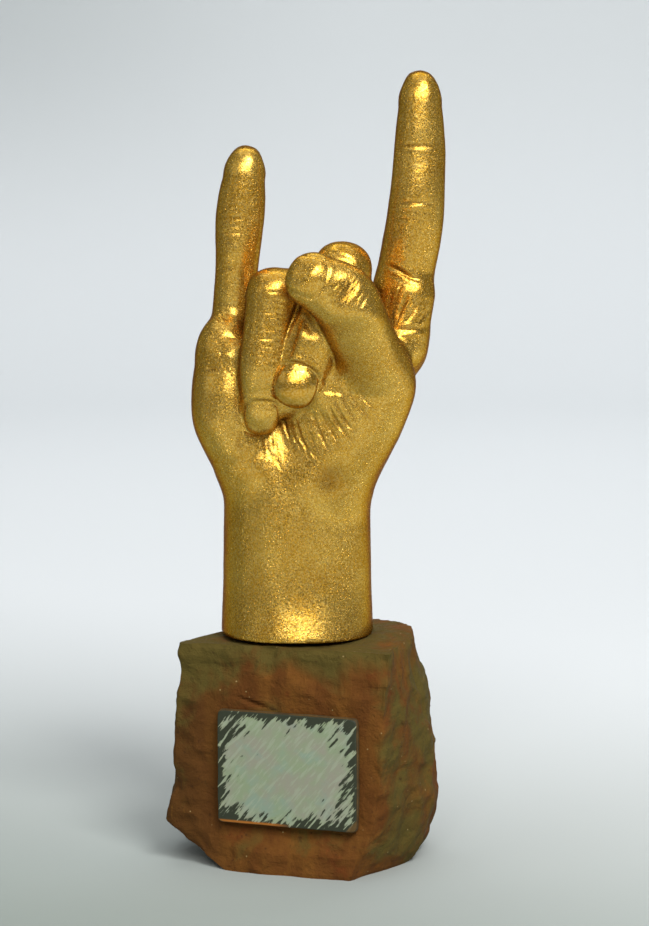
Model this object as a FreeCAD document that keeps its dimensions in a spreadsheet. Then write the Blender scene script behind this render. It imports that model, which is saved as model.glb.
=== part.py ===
# Cast hand sculpture in the horned-hand gesture, standing on a split stone block with a small plate on its front.
#
# The hand is a hollow ceramic casting. A plaster plug fills its wrist and holds a steel rod, anchored by a nut and
# a washer. The rod is grouted into a blind hole in the stone, and a thin mortar bed fills the seam between the
# wrist and the stone. The plate is glued to the flat front face of the stone.
#
# Millimetres and degrees. +Z is up, the palm faces -Y and the index finger is on the +X side. The origin is on
# the rod's axis, in the plane that the stone stands on.

import FreeCAD, Part
import Sketcher
import math
import os

Vector = FreeCAD.Vector
doc = FreeCAD.newDocument("hand_sculpture")


# Driving dimensions

SIZES = {
    # stone block, its reaches measured from the rod's axis in the block's own turned frame
    "stone_height": 76.5,
    "stone_left_reach": 42.5,
    "stone_right_reach": 48.6,
    "stone_front_reach": 28.1,
    "stone_back_reach": 48.6,
    # rod, its hole in the stone and what anchors it
    "rod_diameter": 8.0,
    "rod_depth_in_stone": 40.0,
    "rod_depth_in_wrist": 32.0,
    "hole_clearance": 1.5,
    "hole_spare_depth": 3.0,
    "nut_flats": 13.0,
    "nut_height": 6.5,
    "washer_diameter": 24.0,
    "washer_thickness": 2.0,
    "rod_stand_out": 2.0,
    # seam between wrist and stone
    "bed_thickness": 1.2,
    "bed_inset": 0.8,
    # wrist, palm and the cavity inside them
    "wrist_width": 51.4,
    "palm_height": 96.3,
    "palm_width": 66.0,
    "palm_back": 7.5,
    "palm_side": 4.0,
    "wall": 5.5,
    "cavity_dome": 10.0,
    "plug_height": 40.0,
    # knuckles, sideways and backward from the rod's axis and up from the wrist's lower edge
    "index_knuckle_side": 31.8,
    "index_knuckle_back": 9.0,
    "index_knuckle_height": 94.3,
    "middle_knuckle_side": 15.6,
    "middle_knuckle_back": 13.0,
    "middle_knuckle_height": 97.8,
    "ring_knuckle_side": 3.6,
    "ring_knuckle_back": 12.5,
    "ring_knuckle_height": 94.8,
    "little_knuckle_side": 22.4,
    "little_knuckle_back": 7.0,
    "little_knuckle_height": 88.3,
    "carpal_side": 11.0,
    "carpal_back": 4.5,
    "carpal_height": 46.3,
    "index_metacarpal": 52.5,
    "middle_metacarpal": 53.0,
    "ring_metacarpal": 49.5,
    "little_metacarpal": 45.0,
    "metacarpal_depth": 27.0,
    # fleshy pads of the palm
    "thenar_side": 12.0,
    "thenar_front": 8.0,
    "thenar_height": 50.3,
    "thenar_length": 39.0,
    "thenar_lower_width": 30.0,
    "thenar_upper_width": 25.0,
    "hypothenar_side": 18.0,
    "hypothenar_front": 7.0,
    "hypothenar_height": 50.3,
    "hypothenar_lower_length": 20.0,
    "hypothenar_upper_length": 20.0,
    "hypothenar_lower_width": 20.0,
    "hypothenar_middle_width": 23.5,
    "hypothenar_upper_width": 20.0,
    "web_side": 33.0,
    "web_front": 1.0,
    "web_height": 90.3,
    "web_length": 26.0,
    "web_width": 17.0,
    # index finger, straight
    "index_proximal": 47.0,
    "index_middle": 22.0,
    "index_distal": 27.3,
    "index_root_width": 23.0,
    "index_joint_width": 19.6,
    "index_end_joint_width": 17.4,
    "index_tip_width": 15.6,
    # little finger, straight
    "little_proximal": 35.0,
    "little_middle": 16.5,
    "little_distal": 25.0,
    "little_root_width": 20.0,
    "little_joint_width": 15.2,
    "little_end_joint_width": 17.0,
    "little_tip_width": 15.2,
    # ring finger, folded
    "ring_proximal": 39.0,
    "ring_middle": 26.5,
    "ring_distal": 20.5,
    "ring_root_width": 19.5,
    "ring_joint_width": 17.5,
    "ring_end_joint_width": 16.6,
    "ring_tip_width": 14.6,
    # middle finger, folded
    "middle_proximal": 41.0,
    "middle_middle": 27.0,
    "middle_distal": 21.5,
    "middle_root_width": 20.0,
    "middle_joint_width": 18.5,
    "middle_end_joint_width": 17.2,
    "middle_tip_width": 15.6,
    # thumb, folded across the middle finger
    "thumb_side": 28.4,
    "thumb_front": 13.0,
    "thumb_height": 85.3,
    "thumb_proximal": 37.0,
    "thumb_distal": 24.5,
    "thumb_root_width": 25.0,
    "thumb_joint_width": 22.5,
    "thumb_tip_width": 17.8,
    # plate on the front face
    "plate_width": 50.0,
    "plate_height": 39.0,
    "plate_thickness": 2.0,
    "plate_centre_height": 35.6,
    "plate_shift": 7.4,
    "sheet_margin": 1.3,
    "sheet_thickness": 0.6,
    "glue_thickness": 0.8,
    "glue_inset": 4.0,
}

sheet = doc.addObject("Spreadsheet::Sheet", "sizes")
for row, (alias, value) in enumerate(SIZES.items(), start=1):
    sheet.set("A%d" % row, alias)
    sheet.set("B%d" % row, repr(value))
    sheet.setAlias("B%d" % row, alias)
doc.recompute()


# Helpers

def bind(item, **expressions):
    """Bind properties of one object, such as Height or Placement_Base_z, to expressions on the sheet."""
    for name, expression in expressions.items():
        item.setExpression(name.replace("_", "."), expression)
    return item


def add(kind, name, **expressions):
    """Add an object to the document with its sizes bound to the sheet."""
    return bind(doc.addObject(kind, name), **expressions)


def cut(name, base, tool):
    """One object less another."""
    result = doc.addObject("Part::Cut", name)
    result.Base = base
    result.Tool = tool
    return result


def combined(kind, name, shapes):
    """A Part::MultiFuse or Part::MultiCommon of several objects."""
    result = doc.addObject(kind, name)
    result.Shapes = shapes
    return result


def lofted(name, sections, ruled=True):
    """A solid loft through sections, in their order."""
    loft = doc.addObject("Part::Loft", name)
    loft.Sections = sections
    loft.Solid = True
    loft.Ruled = ruled
    return loft


def raised(item, x, y, z):
    """Bind the place of an object to three expressions."""
    item.setExpression("Placement.Base.x", x)
    item.setExpression("Placement.Base.y", y)
    item.setExpression("Placement.Base.z", z)
    return item


# Heights that several pieces share

SEAT = "(sizes.stone_height + sizes.bed_thickness)"
HOLE_RADIUS = "(sizes.rod_diameter / 2 + sizes.hole_clearance)"
ROD_FOOT = "(sizes.stone_height - sizes.rod_depth_in_stone)"
NUT_SEAT = "(%s + sizes.rod_depth_in_wrist - sizes.rod_stand_out - sizes.nut_height)" % SEAT


# Limbs: a chain of bones, each with elliptical sections along it, and a dome at each open end

# Along a bone: place as a share of its length, girth as a share of the girth there
BONE_SHARES = [(0.0, 1.0), (0.25, 0.975), (0.5, 0.955), (0.75, 0.975)]
TIP_SHARES = [(0.0, 1.0), (0.3, 1.0), (0.56, 0.985), (0.68, 0.94), (0.8, 0.85), (0.905, 0.66), (0.965, 0.42)]
# Along a dome: place as a share of its height, girth as a share of the girth at its foot
DOME_SHARES = [(0.34, 0.94), (0.64, 0.77), (0.87, 0.5), (0.97, 0.24)]
START_DOME_SHARE = 0.9


def direction(lean, fold):
    """Unit vector of a bone that leans toward +X and folds toward the palm."""
    lean, fold = math.radians(lean), math.radians(fold)
    return Vector(math.cos(fold) * math.sin(lean), -math.sin(fold), math.cos(fold) * math.cos(lean))


def moved(place, length, course):
    """A place, as three expressions, moved along a direction by a length, also an expression."""
    return [
        "%s + %s * %.5f" % (expression, length, share)
        for expression, share in zip(place, (course.x, course.y, course.z))
    ]


def section(name, place, tangent, across, major, minor):
    """An elliptical section square to the tangent, its longer axis along the direction across."""
    ellipse = add("Part::Ellipse", name, MajorRadius="max(%s; %s)" % (major, minor),
                  MinorRadius="min(%s; %s)" % (major, minor))
    ellipse.Placement = FreeCAD.Placement(Vector(), FreeCAD.Rotation(across, tangent.cross(across), tangent, "ZXY"))
    return raised(ellipse, *place)


def limb(name, root, bones, girths, tip=True, start_dome=True, hint=None, across_depth=False):
    """A loft along a chain of bones.

    bones: (length alias, lean, fold) from root to tip. girths: (width alias, depth as a share of the width) at
    every joint. hint: the direction of the limb's back where it isn't the hand's. across_depth: the longer axis
    of the sections is the depth.
    """
    sections = []
    place = root
    before = None
    for index, (length, lean, fold) in enumerate(bones):
        course = direction(lean, fold)
        is_tip = tip and index == len(bones) - 1
        (start, start_share), (end, end_share) = girths[index], girths[index + 1]
        side = Vector(math.cos(math.radians(lean)), 0, -math.sin(math.radians(lean)))
        for along, girth_share in TIP_SHARES if is_tip else BONE_SHARES:
            tangent = course
            if before and along == 0:
                tangent = (course + before).normalize()
            across = tangent.cross(hint) if hint else side
            if across_depth:
                across = tangent.cross(across)
            across = (across - tangent * tangent.dot(across)).normalize()
            mix = min(1.0, along / 0.6) if is_tip else along
            width = "(sizes.%s * %.4f + sizes.%s * %.4f)" % (start, 1 - mix, end, mix)
            depth_share = start_share * (1 - mix) + end_share * mix
            spot = moved(place, "sizes." + length, course * along)
            radius = "%s * %.5f" % (width, girth_share / 2)
            sections.append((spot, tangent, across, radius, "%s * %.5f" % (radius, depth_share)))
        place = moved(place, "sizes." + length, course)
        before = course
    end, end_share = girths[-1]
    first = sections[0]
    if tip:
        last = (place, before, across, None, None)
    else:
        radius = "sizes.%s / 2" % end
        reach = "%s * %.4f" % (radius, min(1.0, end_share))
        sections.append((place, before, across, radius, "%s * %.4f" % (radius, end_share)))
        for along, girth_share in DOME_SHARES:
            spot = moved(place, reach, before * along)
            wide = "%s * %.4f" % (radius, girth_share)
            sections.append((spot, before, across, wide, "%s * %.4f" % (wide, end_share)))
        last = (moved(place, reach, before), before, across, None, None)
    sections.append(last)

    spot, tangent, across, radius, depth = first
    reach = "%s * %.4f" % (depth if girths[0][1] < 1 else radius, START_DOME_SHARE)
    dome = []
    if start_dome:
        dome.append((moved(spot, reach, -tangent), tangent, across, None, None))
        for along, girth_share in reversed(DOME_SHARES):
            dome.append((moved(spot, reach, -tangent * along), tangent, across,
                         "%s * %.4f" % (radius, girth_share), "%s * %.4f" % (depth, girth_share)))

    profiles = []
    for number, (spot, tangent, across, major, minor) in enumerate(dome + sections):
        label = "%s_section_%d" % (name, number)
        if major is None:
            profiles.append(raised(doc.addObject("Part::Vertex", label), *spot))
        else:
            profiles.append(section(label, spot, tangent, across, major, minor))
    return lofted(name, profiles)


def knuckle(name, sign="+"):
    """The place of a knuckle, from its three driving dimensions."""
    return ["0 %s sizes.%s_side" % (sign, name), "sizes.%s_back" % name, "%s + sizes.%s_height" % (SEAT, name)]


def pad(name, sign="+"):
    """The root of a pad on the palm side, from its three driving dimensions."""
    return ["0 %s sizes.%s_side" % (sign, name), "0 - sizes.%s_front" % name, "%s + sizes.%s_height" % (SEAT, name)]


# Wrist and palm

# Sections up the palm: height as a share of the palm's, width as shares of the wrist's and of the palm's, depth as
# a share of the width there, and setback and sideways shift as shares of the palm's
CORE_SHARES = [
    (0.0, 1.008, 0.0, 0.86, 0.0, 0.0),
    (0.18, 0.996, 0.0, 0.86, 0.0, 0.0),
    (0.335, 0.996, 0.0, 0.84, 0.0, 0.0),
    (0.44, 1.01, 0.0, 0.81, 0.0, 0.0),
    (0.545, 0.0, 0.88, 0.70, 0.07, 0.0),
    (0.67, 0.0, 0.97, 0.60, 0.3, 0.15),
    (0.795, 0.0, 1.0, 0.55, 0.6, 0.4),
    (0.88, 0.0, 1.0, 0.53, 0.8, 0.8),
    (0.935, 0.0, 0.94, 0.5, 0.95, 1.0),
    (0.97, 0.0, 0.8, 0.45, 1.0, 1.0),
    (0.99, 0.0, 0.5, 0.42, 1.0, 1.0),
]
CAVITY_ROWS = 6
UP = Vector(0, 0, 1)
RIGHT = Vector(1, 0, 0)


def core_place(height_share, back_share, side_share):
    """A place on the palm's axis."""
    return ["sizes.palm_side * %.4f" % side_share, "sizes.palm_back * %.4f" % back_share,
            "%s + sizes.palm_height * %.4f" % (SEAT, height_share)]


def core_radii(wrist_share, palm_share, depth_share):
    """Half the width and half the depth of the palm there."""
    wide = "(sizes.wrist_width * %.4f + sizes.palm_width * %.4f) / 2" % (wrist_share, palm_share)
    return wide, "%s * %.4f" % (wide, depth_share)


def make_core():
    """Wrist and palm without the fingers, thumb and pads."""
    sections = []
    for number, (height_share, *girth_shares, back_share, side_share) in enumerate(CORE_SHARES):
        wide, deep = core_radii(*girth_shares)
        place = core_place(height_share, back_share, side_share)
        sections.append(section("core_section_%d" % number, place, UP, RIGHT, wide, deep))
    sections.append(raised(doc.addObject("Part::Vertex", "core_top"), *core_place(1.0, 1.0, 1.0)))
    return lofted("wrist_and_palm", sections)


def make_cavity():
    """The hollow left by the drained slip: the palm's sections less the wall, closed by a dome."""
    sections = []
    for number, (height_share, *girth_shares, back_share, side_share) in enumerate(CORE_SHARES[:CAVITY_ROWS]):
        wide, deep = ["%s - sizes.wall" % half for half in core_radii(*girth_shares)]
        place = core_place(height_share, back_share, side_share)
        sections.append(section("cavity_section_%d" % number, place, UP, RIGHT, wide, deep))
    for number, (along, girth_share) in enumerate(DOME_SHARES):
        spot = moved(place, "sizes.cavity_dome", UP * along)
        sections.append(section("cavity_dome_%d" % number, spot, UP, RIGHT, "(%s) * %.4f" % (wide, girth_share),
                                "(%s) * %.4f" % (deep, girth_share)))
    sections.append(raised(doc.addObject("Part::Vertex", "cavity_top"), *moved(place, "sizes.cavity_dome", UP)))
    return lofted("cavity", sections)


# Fingers, thumb and pads

FRONT = Vector(0, -1, 0.15)


def make_metacarpals():
    """Four bones that fan out from the wrist to the knuckles."""
    rows = [
        ("index", "+", 23, -6),
        ("middle", "+", 12.5, -9),
        ("ring", "-", 0, -9),
        ("little", "-", -16, -4),
    ]
    girths = [("metacarpal_depth", 0.74), ("metacarpal_depth", 0.86)]
    carpal_shares = {"index": 1.0, "middle": 0.36, "ring": -0.36, "little": -1.0}
    bones = []
    for name, sign, lean, fold in rows:
        root = ["sizes.carpal_side * %.4f" % carpal_shares[name], "sizes.carpal_back * 1",
                "%s + sizes.carpal_height" % SEAT]
        bones.append(limb(name + "_metacarpal", root, [(name + "_metacarpal", lean, fold)], girths, tip=False,
                          start_dome=False, across_depth=True))
    return bones


def make_straight_fingers():
    """The raised index and little fingers."""
    return [
        limb("index_finger", knuckle("index_knuckle"),
             [("index_proximal", 10, 11), ("index_middle", 3.5, 3), ("index_distal", 0.5, 0)],
             [("index_root_width", 1.0), ("index_joint_width", 0.95), ("index_end_joint_width", 0.89),
              ("index_tip_width", 0.87)]),
        limb("little_finger", knuckle("little_knuckle", "-"),
             [("little_proximal", 3.5, 11), ("little_middle", 4, 4), ("little_distal", 6, 0)],
             [("little_root_width", 1.0), ("little_joint_width", 1.0), ("little_end_joint_width", 0.9),
              ("little_tip_width", 0.88)]),
    ]


def make_folded_fingers():
    """The ring and middle fingers, folded onto the palm."""
    fingers = []
    for name, sign, proximal, middle, distal in [
        ("ring", "-", (-10, 55), (8.5, 176), (0, 190)),
        ("middle", "+", (0, 50), (17, 175), (21, 188)),
    ]:
        root = knuckle(name + "_knuckle", sign)
        fingers.append(limb(name + "_proximal", root, [(name + "_proximal", *proximal)],
                            [(name + "_root_width", 1.0), (name + "_joint_width", 0.94)], tip=False))
        joint = moved(root, "sizes.%s_proximal" % name, direction(*proximal))
        fingers.append(limb(name + "_end", joint, [(name + "_middle", *middle), (name + "_distal", *distal)],
                            [(name + "_joint_width", 0.92), (name + "_end_joint_width", 0.91),
                             (name + "_tip_width", 0.9)]))
    return fingers


def make_thumb_and_pads():
    """The thumb across the middle finger, and the fleshy pads of the palm."""
    return [
        limb("thumb", pad("thumb"), [("thumb_proximal", -21.8, 32.5), ("thumb_distal", -62, 9.5)],
             [("thumb_root_width", 0.92), ("thumb_joint_width", 0.85), ("thumb_tip_width", 0.87)], hint=FRONT),
        limb("thenar_pad", pad("thenar"), [("thenar_length", 24.5, 8)],
             [("thenar_lower_width", 0.94), ("thenar_upper_width", 0.98)], tip=False, hint=FRONT),
        limb("hypothenar_pad", pad("hypothenar", "-"),
             [("hypothenar_lower_length", -13, 0), ("hypothenar_upper_length", -7, -8)],
             [("hypothenar_lower_width", 1.0), ("hypothenar_middle_width", 1.0), ("hypothenar_upper_width", 0.98)],
             tip=False),
        limb("web_pad", pad("web"), [("web_length", 10, -2)],
             [("web_width", 1.0), ("web_width", 0.94)], tip=False),
    ]


def make_hand():
    """The casting, and the hollow inside it."""
    forms = [make_core()] + make_metacarpals() + make_straight_fingers() + make_folded_fingers()
    mass = combined("Part::MultiFuse", "hand_mass", forms + make_thumb_and_pads())
    cavity = make_cavity()
    return cut("hand_shell", mass, cavity), cavity


# Stone block

# The block is turned about the vertical, so that its front face looks a little to the left of the palm
STONE_TURN = 19.2
ALONG_FRONT = Vector(math.cos(math.radians(STONE_TURN)), -math.sin(math.radians(STONE_TURN)), 0)
INWARD = Vector(math.sin(math.radians(STONE_TURN)), math.cos(math.radians(STONE_TURN)), 0)
STONE_ROTATION = FreeCAD.Rotation(UP, -STONE_TURN)

# Outlines of the split block from the underside to the top. Each has its height as a share of the block's, then
# its corners, clockwise from the front left, as shares of the reaches on their side of the rod
STONE_SHARES = [
    (0.0, [(-0.35, -1.11), (-0.05, -1.16), (0.62, -1.12), (0.84, -0.04), (0.8, 0.37), (0.35, 0.88),
           (-0.52, 0.78), (-0.82, 0.25), (-0.64, -0.5)]),
    (0.1, [(-0.66, -0.97), (-0.07, -1.15), (0.68, -1.12), (0.93, 0.01), (0.87, 0.41), (0.37, 0.97),
           (-0.56, 0.82), (-0.92, 0.29), (-0.87, -0.36)]),
    (0.19, [(-0.85, -1.0), (-0.07, -1.0), (0.74, -1.0), (0.97, 0.02), (0.905, 0.45), (0.37, 1.0),
            (-0.59, 0.84), (-0.965, 0.29), (-1.0, -0.36)]),
    (0.31, [(-0.81, -1.0), (-0.06, -1.0), (0.79, -1.0), (1.0, 0.04), (0.905, 0.47), (0.37, 0.99),
            (-0.59, 0.82), (-0.965, 0.27), (-0.94, -0.39)]),
    (0.76, [(-0.78, -1.0), (-0.02, -1.0), (0.84, -1.0), (0.935, 0.01), (0.82, 0.45), (0.33, 0.93),
            (-0.59, 0.76), (-0.87, 0.23), (-0.87, -0.43)]),
    (1.0, [(-0.75, -0.94), (0.01, -0.93), (0.85, -0.91), (0.85, -0.05), (0.68, 0.47), (0.275, 0.88),
           (-0.565, 0.45), (-0.66, 0.03), (-0.74, -0.53)]),
]


def stone_reach(share, plus, minus):
    """The size that a share follows: the block's reach on that side of the rod."""
    return "stone_%s_reach" % (plus if share > 0 else minus)


def make_outline(name, height_share, corners):
    """A sketch of one outline, each corner held by its distances from the rod's axis."""
    outline = doc.addObject("Sketcher::SketchObject", name)
    points = []
    for x, y in corners:
        width, depth = stone_reach(x, "right", "left"), stone_reach(y, "back", "front")
        points.append(Vector(x * sheet.get(width), y * sheet.get(depth), 0))
    for start, end in zip(points, points[1:] + points[:1]):
        outline.addGeometry(Part.LineSegment(start, end))
    for index, (x, y) in enumerate(corners):
        before = index - 1 if index else len(corners) - 1
        outline.addConstraint(Sketcher.Constraint("Coincident", before, 2, index, 1))
        for kind, share, reach in [
            ("DistanceX", x, stone_reach(x, "right", "left")),
            ("DistanceY", y, stone_reach(y, "back", "front")),
        ]:
            ends = (-1, 1, index, 1) if share > 0 else (index, 1, -1, 1)
            number = outline.addConstraint(Sketcher.Constraint(kind, *ends, abs(share) * sheet.get(reach)))
            outline.setExpression("Constraints[%d]" % number, "sizes.%s * %.4f" % (reach, abs(share)))
    outline.Placement = FreeCAD.Placement(Vector(), STONE_ROTATION)
    outline.setExpression("Placement.Base.z", "sizes.stone_height * %.4f" % height_share)
    return outline


def make_hole_filling(name):
    """A cylinder that fills the blind hole."""
    return add("Part::Cylinder", name, Radius=HOLE_RADIUS,
               Height="sizes.rod_depth_in_stone + sizes.hole_spare_depth",
               Placement_Base_z="%s - sizes.hole_spare_depth" % ROD_FOOT)


def make_stone():
    """The block with its blind hole for the rod."""
    outlines = [
        make_outline("stone_outline_%d" % number, height_share, corners)
        for number, (height_share, corners) in enumerate(STONE_SHARES)
    ]
    block = lofted("stone_block", outlines)
    hole = make_hole_filling("stone_hole")
    return cut("stone_base", block, hole)


# Rod and what holds it

def make_rod():
    """The rod from its foot in the stone to its head in the wrist."""
    return add("Part::Cylinder", "mounting_rod", Radius="sizes.rod_diameter / 2",
               Height="sizes.rod_depth_in_stone + sizes.bed_thickness + sizes.rod_depth_in_wrist",
               Placement_Base_z=ROD_FOOT)


def make_nut_hexagon():
    """The nut's hexagon, without its bore."""
    hexagon = add("Part::Prism", "nut_hexagon", Circumradius="sizes.nut_flats / 2 / cos(30deg)",
                  Height="sizes.nut_height", Placement_Base_z=NUT_SEAT)
    hexagon.Polygon = 6
    return hexagon


def make_washer_disc():
    """The wide washer under the nut, without its bore."""
    return add("Part::Cylinder", "washer_disc", Radius="sizes.washer_diameter / 2",
               Height="sizes.washer_thickness", Placement_Base_z="%s - sizes.washer_thickness" % NUT_SEAT)


def make_plug(cavity, held):
    """The plaster in the wrist's cavity, cast around what it holds."""
    reach = add("Part::Cylinder", "plug_reach", Radius="sizes.wrist_width", Height="sizes.plug_height",
                Placement_Base_z=SEAT)
    filling = combined("Part::MultiCommon", "plug_filling", [reach, cavity])
    return cut("wrist_plug", filling, combined("Part::MultiFuse", "plug_hollow", held))


def make_bed(rod):
    """The mortar between the wrist's lower edge and the stone."""
    wide, deep = core_radii(*CORE_SHARES[0][1:4])
    rim = section("bed_rim", ["0 * sizes.wall", "0 * sizes.wall", "sizes.stone_height * 1"], UP, RIGHT,
                  "%s - sizes.bed_inset" % wide, "%s - sizes.bed_inset" % deep)
    bed = add("Part::Extrusion", "bed_disc", LengthFwd="sizes.bed_thickness")
    bed.Base = rim
    bed.Dir = UP
    bed.Solid = True
    return cut("seat_bed", bed, rod)


# Plate on the front face

def make_plate(name, width, height, thickness, gap):
    """A flat rectangular piece on the stone's front face, gap away from it."""
    piece = add("Part::Box", name, Length=width, Height=height, Width=thickness)
    piece.Placement = FreeCAD.Placement(Vector(), STONE_ROTATION)
    corner = moved(["0 * sizes.wall"] * 3, "(sizes.plate_shift - (%s) / 2)" % width, ALONG_FRONT)
    corner = moved(corner, "-(sizes.stone_front_reach + %s + %s)" % (gap, thickness), INWARD)
    corner[2] = "sizes.plate_centre_height - (%s) / 2" % height
    return raised(piece, *corner)


# Assembly

PLATE_SIZES = ("sizes.plate_width", "sizes.plate_height")

hand_shell, cavity = make_hand()
mounting_rod = make_rod()
nut_hexagon = make_nut_hexagon()
washer_disc = make_washer_disc()

nodes = [
    hand_shell,
    make_plug(cavity, [mounting_rod, nut_hexagon, washer_disc]),
    mounting_rod,
    cut("anchor_nut", nut_hexagon, mounting_rod),
    cut("anchor_washer", washer_disc, mounting_rod),
    make_bed(mounting_rod),
    make_stone(),
    cut("rod_grout", make_hole_filling("grout_filling"), mounting_rod),
    make_plate("plaque_glue", *["%s - sizes.glue_inset * 2" % side for side in PLATE_SIZES],
               "sizes.glue_thickness", "0 * sizes.wall"),
    make_plate("plaque_board", *PLATE_SIZES, "sizes.plate_thickness", "sizes.glue_thickness"),
    make_plate("plaque_sheet", *["%s - sizes.sheet_margin * 2" % side for side in PLATE_SIZES],
               "sizes.sheet_thickness", "sizes.glue_thickness + sizes.plate_thickness"),
]

doc.recompute()

for item in doc.Objects:
    if "Invalid" in item.State or "Error" in item.State:
        raise RuntimeError("%s did not compute" % item.Name)
for node in nodes:
    if node.Shape.isNull() or not node.Shape.isValid():
        raise RuntimeError("%s has no valid shape" % node.Label)

os.makedirs("parts", exist_ok=True)
for node in nodes:
    node.Shape.exportStep("parts/%s.step" % node.Label)
    print("%s: %.1f cubic centimetres" % (node.Label, node.Shape.Volume / 1000))
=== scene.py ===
import itertools
import math

import bpy
import numpy as np
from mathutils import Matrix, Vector


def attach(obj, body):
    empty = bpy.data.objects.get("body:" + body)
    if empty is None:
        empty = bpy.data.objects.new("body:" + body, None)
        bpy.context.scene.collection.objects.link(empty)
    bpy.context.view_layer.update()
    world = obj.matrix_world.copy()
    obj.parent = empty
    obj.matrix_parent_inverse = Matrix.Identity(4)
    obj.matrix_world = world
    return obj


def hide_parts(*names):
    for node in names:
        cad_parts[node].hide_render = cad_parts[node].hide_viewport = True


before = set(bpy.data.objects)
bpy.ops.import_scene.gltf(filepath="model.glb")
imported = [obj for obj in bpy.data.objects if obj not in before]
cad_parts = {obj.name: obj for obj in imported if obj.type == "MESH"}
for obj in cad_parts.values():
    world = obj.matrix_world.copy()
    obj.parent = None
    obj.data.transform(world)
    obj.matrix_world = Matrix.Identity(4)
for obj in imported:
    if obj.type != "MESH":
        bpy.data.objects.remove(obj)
print("frame loaded:", ", ".join(sorted(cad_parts)))

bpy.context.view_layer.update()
millimetre = 0.001
pictureWidth, pictureHeight = 649, 926

# The camera stands where the photograph was taken. Its places are in millimetres, as all shapes are here
# until their meshes are written in metres.
cameraSettings = {
    "aim": (9.3, 0.0, 135.0),
    "distance": 900.0,
    "downAngle": 6.5,
    "focalPixels": 2647.0,
    "sensor": 36.0,
}
downAngle = math.radians(cameraSettings["downAngle"])
cameraForward = np.array([0.0, math.cos(downAngle), -math.sin(downAngle)])
cameraUp = np.array([0.0, math.sin(downAngle), math.cos(downAngle)])
cameraPlace = np.array(cameraSettings["aim"]) - cameraSettings["distance"] * cameraForward


def picturePlace(points):
    # where points appear in the picture, in pixels: focal length times the offset over the depth
    offset = points - cameraPlace
    scale = cameraSettings["focalPixels"] / (offset @ cameraForward)
    return np.stack([pictureWidth / 2 + scale * offset[:, 0], pictureHeight / 2 - scale * (offset @ cameraUp)], 1)


def addCamera():
    data = bpy.data.cameras.new("camera")
    camera = bpy.data.objects.new("camera", data)
    bpy.context.scene.collection.objects.link(camera)
    camera.location = tuple(cameraPlace * millimetre)
    camera.rotation_euler = (math.pi / 2 - downAngle, 0.0, 0.0)
    data.sensor_fit = "VERTICAL"
    data.sensor_height = cameraSettings["sensor"]
    data.lens = cameraSettings["focalPixels"] / pictureHeight * cameraSettings["sensor"]
    data.clip_start = 0.05
    data.clip_end = 20.0
    bpy.context.scene.camera = camera


addCamera()
bpy.context.scene.view_settings.view_transform = "Standard"
print("camera placed")


def makeMesh(name, points, faceGroups, attributes=None, smooth=True):
    # points in millimetres, faceGroups: arrays of faces with the same number of corners in each
    mesh = bpy.data.meshes.new(name)
    corners = np.concatenate([group.ravel() for group in faceGroups]).astype(np.int32)
    counts = np.concatenate([np.full(len(group), group.shape[1]) for group in faceGroups]).astype(np.int32)
    starts = np.concatenate([[0], np.cumsum(counts)[:-1]]).astype(np.int32)
    mesh.vertices.add(len(points))
    mesh.vertices.foreach_set("co", (np.asarray(points, np.float32) * millimetre).ravel())
    mesh.loops.add(len(corners))
    mesh.loops.foreach_set("vertex_index", corners)
    mesh.polygons.add(len(counts))
    mesh.polygons.foreach_set("loop_start", starts)
    mesh.polygons.foreach_set("loop_total", counts)
    mesh.polygons.foreach_set("use_smooth", np.full(len(counts), smooth))
    mesh.update(calc_edges=True)
    mesh.validate()
    for label, values in (attributes or {}).items():
        layer = mesh.attributes.new(label, "FLOAT", "POINT")
        layer.data.foreach_set("value", np.asarray(values, np.float32))
    piece = bpy.data.objects.new(name, mesh)
    bpy.context.scene.collection.objects.link(piece)
    return piece


def gridFaces(rows, columns, closed=False):
    # quads of a grid of rows by columns points, with the last column joined to the first where closed
    row, column = np.meshgrid(np.arange(rows - 1), np.arange(columns if closed else columns - 1), indexing="ij")
    following = (column + 1) % columns
    return np.stack([row * columns + column, row * columns + following, (row + 1) * columns + following,
                     (row + 1) * columns + column], -1).reshape(-1, 4)


def valueNoise(places, scale, seed, octaves=3):
    # smooth noise in -1..1: random numbers at lattice points, mixed with a smooth step between them
    total, weight = np.zeros(len(places)), 0.0
    for octave in range(octaves):
        table = np.random.RandomState(seed + octave).rand(4096) * 2 - 1
        spot = places / (scale / 2 ** octave) + 37.3 * octave
        cell = np.floor(spot).astype(np.int64)
        share = spot - cell
        share = share * share * (3 - 2 * share)
        value = np.zeros(len(places))
        for corner in itertools.product((0, 1), repeat=3):
            keys = (cell + corner) * [73856093, 19349663, 83492791]
            part = np.where(corner, share, 1 - share)
            value += table[(keys[:, 0] ^ keys[:, 1] ^ keys[:, 2]) % 4096] * part[:, 0] * part[:, 1] * part[:, 2]
        total += value / 2 ** octave
        weight += 1 / 2 ** octave
    return total / weight


# The hand is a field of distances: every finger, metacarpal and pad is a limb with a smooth centre line and
# three radii along it, and the limbs are joined with fillets. Its skin is the surface where the field is zero.
# Places, lengths and radii are in millimetres here, with the rod's axis at x = y = 0 and the underside at z = 0.


def unit(vector):
    return vector / np.linalg.norm(vector)


def boneDirection(lean, fold):
    # lean turns a bone toward +X, fold turns it toward the palm, both in degrees
    lean, fold = math.radians(lean), math.radians(fold)
    return np.array([math.cos(fold) * math.sin(lean), -math.sin(fold), math.cos(fold) * math.cos(lean)])


def smoothStep(low, high, value):
    share = np.clip((value - low) / (high - low), 0.0, 1.0)
    return share * share * (3.0 - 2.0 * share)


def bell(value, width):
    # a bump of height 1: exp(-(value / width) squared)
    return np.exp(-(value / width) ** 2)


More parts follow.
